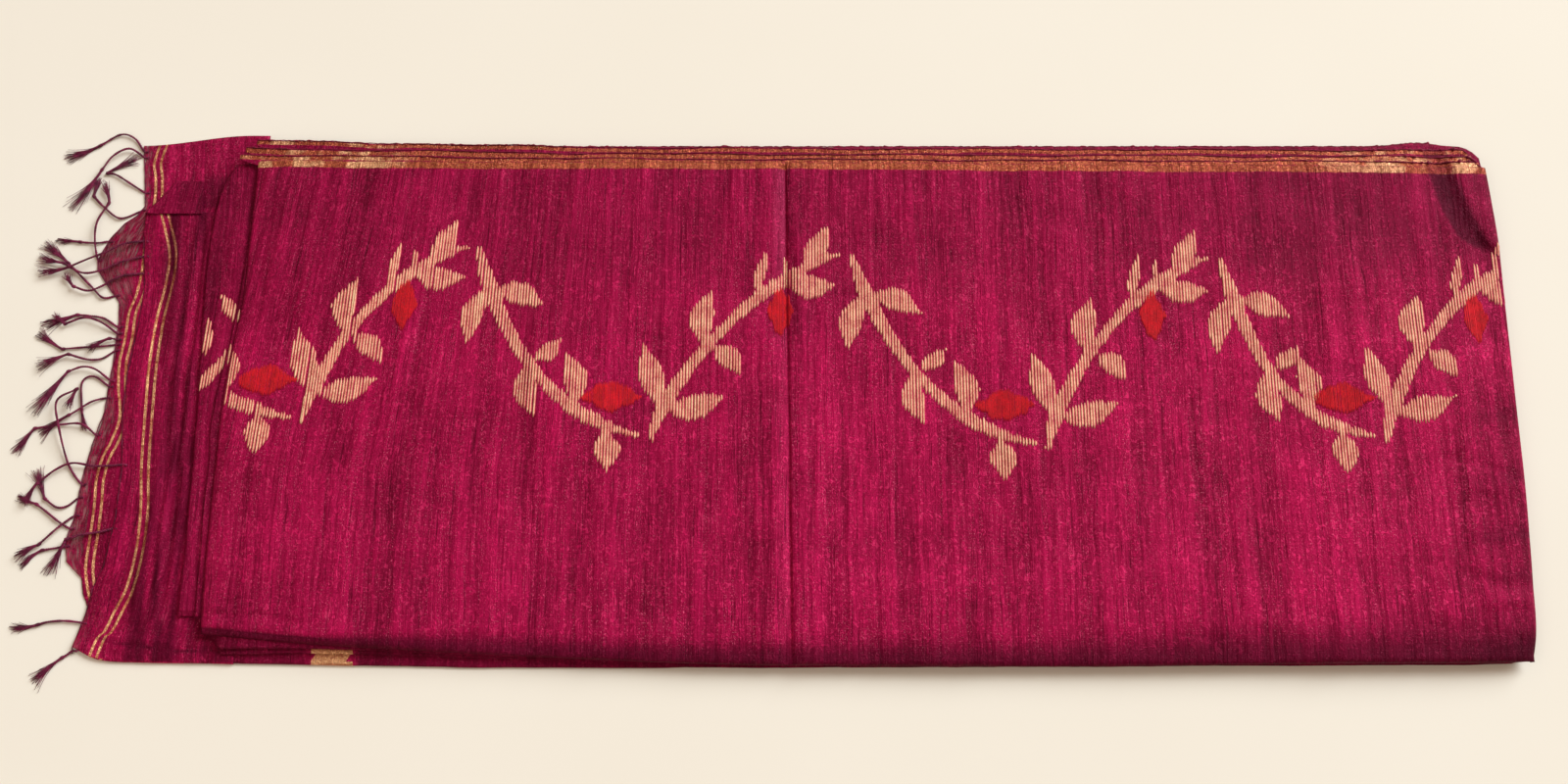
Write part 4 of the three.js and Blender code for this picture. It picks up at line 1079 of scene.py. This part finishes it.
def vine_shapes():
    """Outlines of the stems and leaves, and of the buds."""
    green, buds = [], []
    for index in range(len(STEM) - 1):
        rising = index % 2 == 1
        curve = branch_curve(STEM[index], STEM[index + 1], rising)
        green.append(stem_outline(curve))
        for share, way, degrees, length, width, bow in (RISE_LEAVES if rising else FALL_LEAVES):
            base, ahead = bezier(curve, [share, share + 0.02])
            heading = (ahead - base) / np.linalg.norm(ahead - base)
            foot = base + 6.0 * way * np.array([-heading[1], heading[0]])
            green.append(leaf_outline(foot, degrees, length, width, bow))
        from_x, from_y, wide, tall = BUDS["rise" if rising else "fall"]
        middle = np.array([STEM[index + 1][0] + from_x, STEM[index + 1][1] + from_y])
        turn = np.linspace(0, 2 * math.pi, 48, endpoint=False)
        point = (np.abs(np.cos(turn)) ** 1.3 + np.abs(np.sin(turn)) ** 1.3) ** (-1 / 1.3)
        bumpy = point * (1 + 0.05 * np.cos(5 * turn + index) + 0.05 * np.cos(9 * turn))
        rim = np.stack([wide / 2 * np.cos(turn) * bumpy, tall / 2 * np.sin(turn) * bumpy], -1)
        buds.append(middle + rim)
    return green, buds


def thread_meshes(name, threads, height, half, rise, material):
    """Threads that stand `rise` above a surface and are `half` wide to each side.

    `height` gives the surface at x, y.
    """
    points, faces = [], []
    for x, low, high in threads:
        steps = max(3, int((high - low) / 4.0) + 1)
        y = np.linspace(low, high, steps + 1)
        at = x + 0.5 * (lean(x, y) - lean(x, 0.5 * (low + high)))
        z = height(at, y)
        taper = np.minimum(1, 0.25 + 1.6 * np.minimum(y - low, high - y) / 1.6)
        taper = taper * (0.9 + 0.22 * noise(x + 0 * y, y, 2.3, 9, 150))
        base = len(points)
        for px, py, pz, w in zip(at, y, z, taper * half):
            edge = pz + 0.6 * rise
            points += [(px - w, py, edge), (px, py, pz - 0.15), (px + w, py, edge), (px, py, pz + rise)]
        for k in range(steps):
            a, b = base + 4 * k, base + 4 * k + 4
            faces += [[a + j, a + (j + 1) % 4, b + (j + 1) % 4, b + j] for j in range(4)]
        last = base + 4 * steps
        faces += [[base + 3, base + 2, base + 1, base], [last, last + 1, last + 2, last + 3]]
    mesh_piece(name, points, faces, material)


def inside_panel(threads):
    """The threads whose middle lies on the panel."""
    kept = []
    for x, low, high in threads:
        y = 0.5 * (low + high)
        if side("left", y) + 1.5 < x < side("right", y) - 1.2:
            kept.append((x, low, high))
    return kept


def fold_height(x, y):
    """Height of the left fold's face, and of the narrow pleat on it."""
    on_pleat = (x > fold_edge("inner", y)) & (y < 149)
    return (np.where(on_pleat, 11.5, 8.4) + 0.8 * fold_relief(x, y)) * loft(x)


def on_left_fold(threads):
    """The threads that show left of the panel, clear of the pleat's edge."""
    kept = []
    for x, low, high in threads:
        y = 0.5 * (low + high)
        outer, inner = fold_edge("outer", y), fold_edge("inner", y)
        if outer + 2.0 < x < side("left", y) - 1.5 and not inner - 1.5 < x < inner + 1.5:
            kept.append((x, low, high))
    return kept


def ground_of(threads):
    """The copper threads that show beside and between the vine's gold ones."""
    return [(x + 0.3, low + 0.6, high - 0.6) for x, low, high in threads]


def vine():
    """The vine and its buds, woven as raised weft threads."""
    rng = np.random.default_rng(7)
    green, buds = vine_shapes()
    gold = threads_in(green, WEFT_PITCH, rng, 1.7)
    red = threads_in(buds, BUD_PITCH, rng, 1.5)
    turned = [stem_outline(FOLD_STEM)] + [leaf_outline(*leaf, 0.04) for leaf in FOLD_LEAVES]
    on_fold = on_left_fold(threads_in(turned, WEFT_PITCH, rng, 1.7))
    thread_meshes("vine_threads", inside_panel(gold), panel_height, 1.0, 0.32, VINE)
    thread_meshes("vine_ground", inside_panel(ground_of(gold)), panel_height, 1.55, 0.2, COPPER)
    thread_meshes("vine_buds", inside_panel(red), panel_height, 0.6, 0.36, BUD)
    thread_meshes("vine_threads_on_fold", on_fold, fold_height, 1.0, 0.32, VINE)
    thread_meshes("vine_ground_on_fold", ground_of(on_fold), fold_height, 1.5, 0.2, COPPER)


# ---------- the fringe ----------

def ways(along, upright=(0, 0, 1.0)):
    """Unit directions along, across and up for directions along a path."""
    along = along / np.maximum(np.linalg.norm(along, axis=-1, keepdims=True), 1e-9)
    across = np.cross(upright, along)
    across = across / np.maximum(np.linalg.norm(across, axis=-1, keepdims=True), 1e-9)
    return along, across, np.cross(along, across)


def smooth_route(points, step=0.9):
    """Catmull-Rom curve through points, sampled about every `step` millimetres."""
    p = np.asarray(points, float)
    p = np.concatenate([2 * p[:1] - p[1:2], p, 2 * p[-1:] - p[-2:-1]])
    pieces = []
    for a, b, c, d in zip(p[:-3], p[1:-2], p[2:-1], p[3:]):
        count = max(2, int(np.linalg.norm(c - b) / step))
        t = np.linspace(0, 1, count, endpoint=False)[:, None]
        pieces.append(0.5 * (2 * b + (c - a) * t + (2 * a - 5 * b + 4 * c - d) * t ** 2
                             + (3 * b - a - 3 * c + d) * t ** 3))
    return np.concatenate(pieces + [p[-2:-1]])


class Strands:
    """Many thin tubes gathered into one mesh."""

    def __init__(self):
        self.points, self.faces = [], []

    def tube(self, path, radii, sides):
        """Add a closed tube along a path, kept above the floor."""
        _, across, up = ways(np.gradient(path, axis=0), (0.03, 0.02, 1.0))
        turn = (2 * math.pi * np.arange(sides) / sides)[None, :, None]
        out = across[:, None] * np.cos(turn) + up[:, None] * np.sin(turn)
        ring = path[:, None] + radii[:, None, None] * out
        ring[..., 2] = np.maximum(ring[..., 2], 0.03)
        base = len(self.points)
        self.points += ring.reshape(-1, 3).tolist()
        for k in range(len(path) - 1):
            a, b = base + k * sides, base + (k + 1) * sides
            around = [(j, (j + 1) % sides) for j in range(sides)]
            self.faces += [[a + j, a + after, b + after, b + j] for j, after in around]
        last = base + (len(path) - 1) * sides
        self.faces += [list(range(base, base + sides))[::-1], list(range(last, last + sides))]


def twisted(strands, route, radius, pitch, phase, rng):
    """Two plies twisted round a route, a little uneven; `pitch` is the length of one turn."""
    path = smooth_route(route)
    length = np.concatenate([[0], np.cumsum(np.linalg.norm(np.diff(path, axis=0), axis=1))])
    _, across, up = ways(np.gradient(path, axis=0))
    turn = 2 * math.pi * length / pitch + phase
    thick = radius * (1 + 0.14 * ripple(length, 5, int(rng.integers(1, 900))))
    for half in (0, math.pi):
        offset = across * np.cos(turn + half)[:, None] + up * np.sin(turn + half)[:, None]
        strands.tube(path + offset * thick[:, None] * 0.52, thick * 0.58, 6)
    return path


def brush(strands, knot, tip, rng, count):
    """Frayed ends below a knot: threads that stay together, then spread."""
    length = np.linalg.norm(tip - knot)
    ahead, across, up = ways(tip - knot)
    curl = rng.uniform(-0.22, 0.22)
    for _ in range(count):
        size = length * rng.uniform(0.62, 1.08)
        angle, out = rng.uniform(0, 2 * math.pi), math.sqrt(rng.random())
        wide = rng.normal(0, 0.12)
        t = np.linspace(0, 1, 8)[:, None]
        sway = (wide * t ** 1.8 + curl * t ** 2) * size
        wave = 0.5 * rng.normal() * np.sin(t * rng.uniform(4, 9))
        bundle = 1.15 * out * (1 - 0.3 * t)
        path = (knot + ahead * size * t + across * (sway + wave * t + bundle * math.cos(angle))
                + up * (bundle * math.sin(angle) * 0.8 + 0.4 * wave * t))
        path[:, 2] = np.maximum(path[:, 2], 0.35 + 0.3 * rng.random())
        strands.tube(path, np.linspace(0.42, 0.19, 8), 3)


def knot_wraps(strands, knot, ahead):
    """Three turns wound round the cord."""
    _, across, up = ways(ahead)
    t = np.linspace(0, 1, 34)[:, None]
    swell = 0.85 + 0.55 * np.sin(math.pi * t)
    turn = 2 * math.pi * 3 * t
    path = knot + ahead * (4.4 * (t - 0.5)) + (across * np.cos(turn) + up * np.sin(turn)) * swell
    strands.tube(path, np.full(34, 0.72), 6)


def fringe(name, node, tassels, edge_table, lift, ends, seed):
    """A ply's tassels, in place of a node, and the thread that binds the ply's free edge.

    `lift` is the ply's level there, and `ends` are where the binding thread starts and stops.
    """
    rng = np.random.default_rng(seed)
    strands = Strands()
    edge = lambda y: straight(edge_table, y)
    level = (lift + 0.6) * FLOOR_LOFT
    for index, (at, route, tip) in enumerate(tassels):
        root = (float(edge(at)) - 0.4, at, level)
        inner = (float(edge(at)) + 5.0, at + rng.uniform(-1, 1), level + 0.9)
        path = twisted(strands, [inner, root, *route], CORD_RADIUS, 4.6, rng.uniform(0, 6), rng)
        knot = path[-1]
        ahead = ways(knot - path[-4])[0]
        knot_wraps(strands, knot, ahead)
        brush(strands, knot + ahead, tip, rng, 52 if index % 3 else 60)
    y = np.arange(*ends, 1.6)
    bind = grid_of(edge(y) - 0.55 + 0.25 * ripple(y, 5, seed), y, level + 0.3 * ripple(y, 9, seed + 1))
    strands.tube(bind, np.full(len(y), 0.62), 6)
    piece = mesh_piece(name, strands.points, strands.faces, CORD)
    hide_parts(node)


# ---------- making it ----------

core_layers()
top_panel()
side_fold("saree_left_fold", "left_fold", "outer", spread([(-243, 3), (-225, 1), (262, 1)], 150),
          bottom=4.0, height=4.4, reach=3.0)
side_fold("saree_left_pleat", "left_fold_inner", "inner", spread([(-244, 3), (-228, 1), (150, 1)], 120),
          bottom=8.7, height=2.8, reach=1.5)
pallu_upper()
pallu_lower()
pallu_flap()
for number, row in enumerate(SELVEDGES):
    selvedge(row, number)
edge_yarn()
vine()
fringe("fringe_of_upper_ply", "fringe_upper", UPPER_TASSELS, PALLU_UPPER_EDGE, 1.6, (-281, 179), 11)
fringe("fringe_of_lower_ply", "fringe_lower", LOWER_TASSELS, PALLU_LOWER_EDGE, 0.4, (-171, 285), 12)


# ---------- floor, light and camera ----------

# Places and sizes are in metres here.
FLOOR_HALF = 4.0
# Lamps: name, place, what it points at, size, power in watts and colour.
LAMPS = [
    ("key", (13.6, 10.8, 10.4), (0, 0, 0), 12.0, 5100, (0.997, 1.085, 1.165)),
    ("fill", (-1.6, -1.4, 2.6), (0, -0.3, 0), 2.6, 15, (0.97, 0.98, 1.0)),
]
ROOM_COLOUR = (1.2, 0.9, 0.69, 1.0)   # light that comes back from the room
ROOM_STRENGTH = 0.29
CAMERA_TILT = math.radians(17.0)      # from straight down
CAMERA_REACH = 1.868                  # from the middle of the frame
CAMERA_LENS = 40.0                    # millimetres, as the sensor's width
SENSOR_WIDTH = 36.0


def floor():
    """The pale surface that the saree lies on."""
    n = Nodes("pale_floor")
    x, y = n.place()[:2]
    mottle = n.noise(x, y, 0.5, 0.4, 3.0)
    n.look("Base Color", n.mix(mottle, rgb(243, 235, 217), rgb(248, 241, 225)))
    n.look("Roughness", 0.8)
    mesh = bpy.data.meshes.new("floor")
    corners = [(x * FLOOR_HALF, y * FLOOR_HALF, 0) for x, y in ((-1, -1), (1, -1), (1, 1), (-1, 1))]
    mesh.from_pydata(corners, [], [(0, 1, 2, 3)])
    mesh.materials.append(n.material)
    plane = bpy.data.objects.new("floor", mesh)
    bpy.context.scene.collection.objects.link(plane)


def lamp(name, place, target, size, power, colour):
    """A square area lamp that points at a place."""
    data = bpy.data.lights.new(name, "AREA")
    data.size = size
    data.energy = power
    data.color = colour
    light = bpy.data.objects.new(name, data)
    light.location = place
    x, y, z = np.asarray(target) - np.asarray(place)
    light.rotation_euler = (math.atan2(math.hypot(x, y), -z), 0, math.atan2(y, x) - QUARTER)
    bpy.context.scene.collection.objects.link(light)


floor()
for row in LAMPS:
    lamp(*row)
scene = bpy.context.scene
scene.world = bpy.data.worlds.new("soft_room")
scene.world.use_nodes = True
room = scene.world.node_tree.nodes["Background"].inputs
room[0].default_value = ROOM_COLOUR
room[1].default_value = ROOM_STRENGTH
scene.view_settings.view_transform = "Standard"

camera_data = bpy.data.cameras.new("camera")
camera_data.lens = CAMERA_LENS
camera_data.sensor_width = SENSOR_WIDTH
camera = bpy.data.objects.new("camera", camera_data)
back, up = CAMERA_REACH * math.sin(CAMERA_TILT), CAMERA_REACH * math.cos(CAMERA_TILT)
camera.location = (SHIFT[0], SHIFT[1] - back, up)
camera.rotation_euler = (CAMERA_TILT, 0, 0)
scene.collection.objects.link(camera)
scene.camera = camera
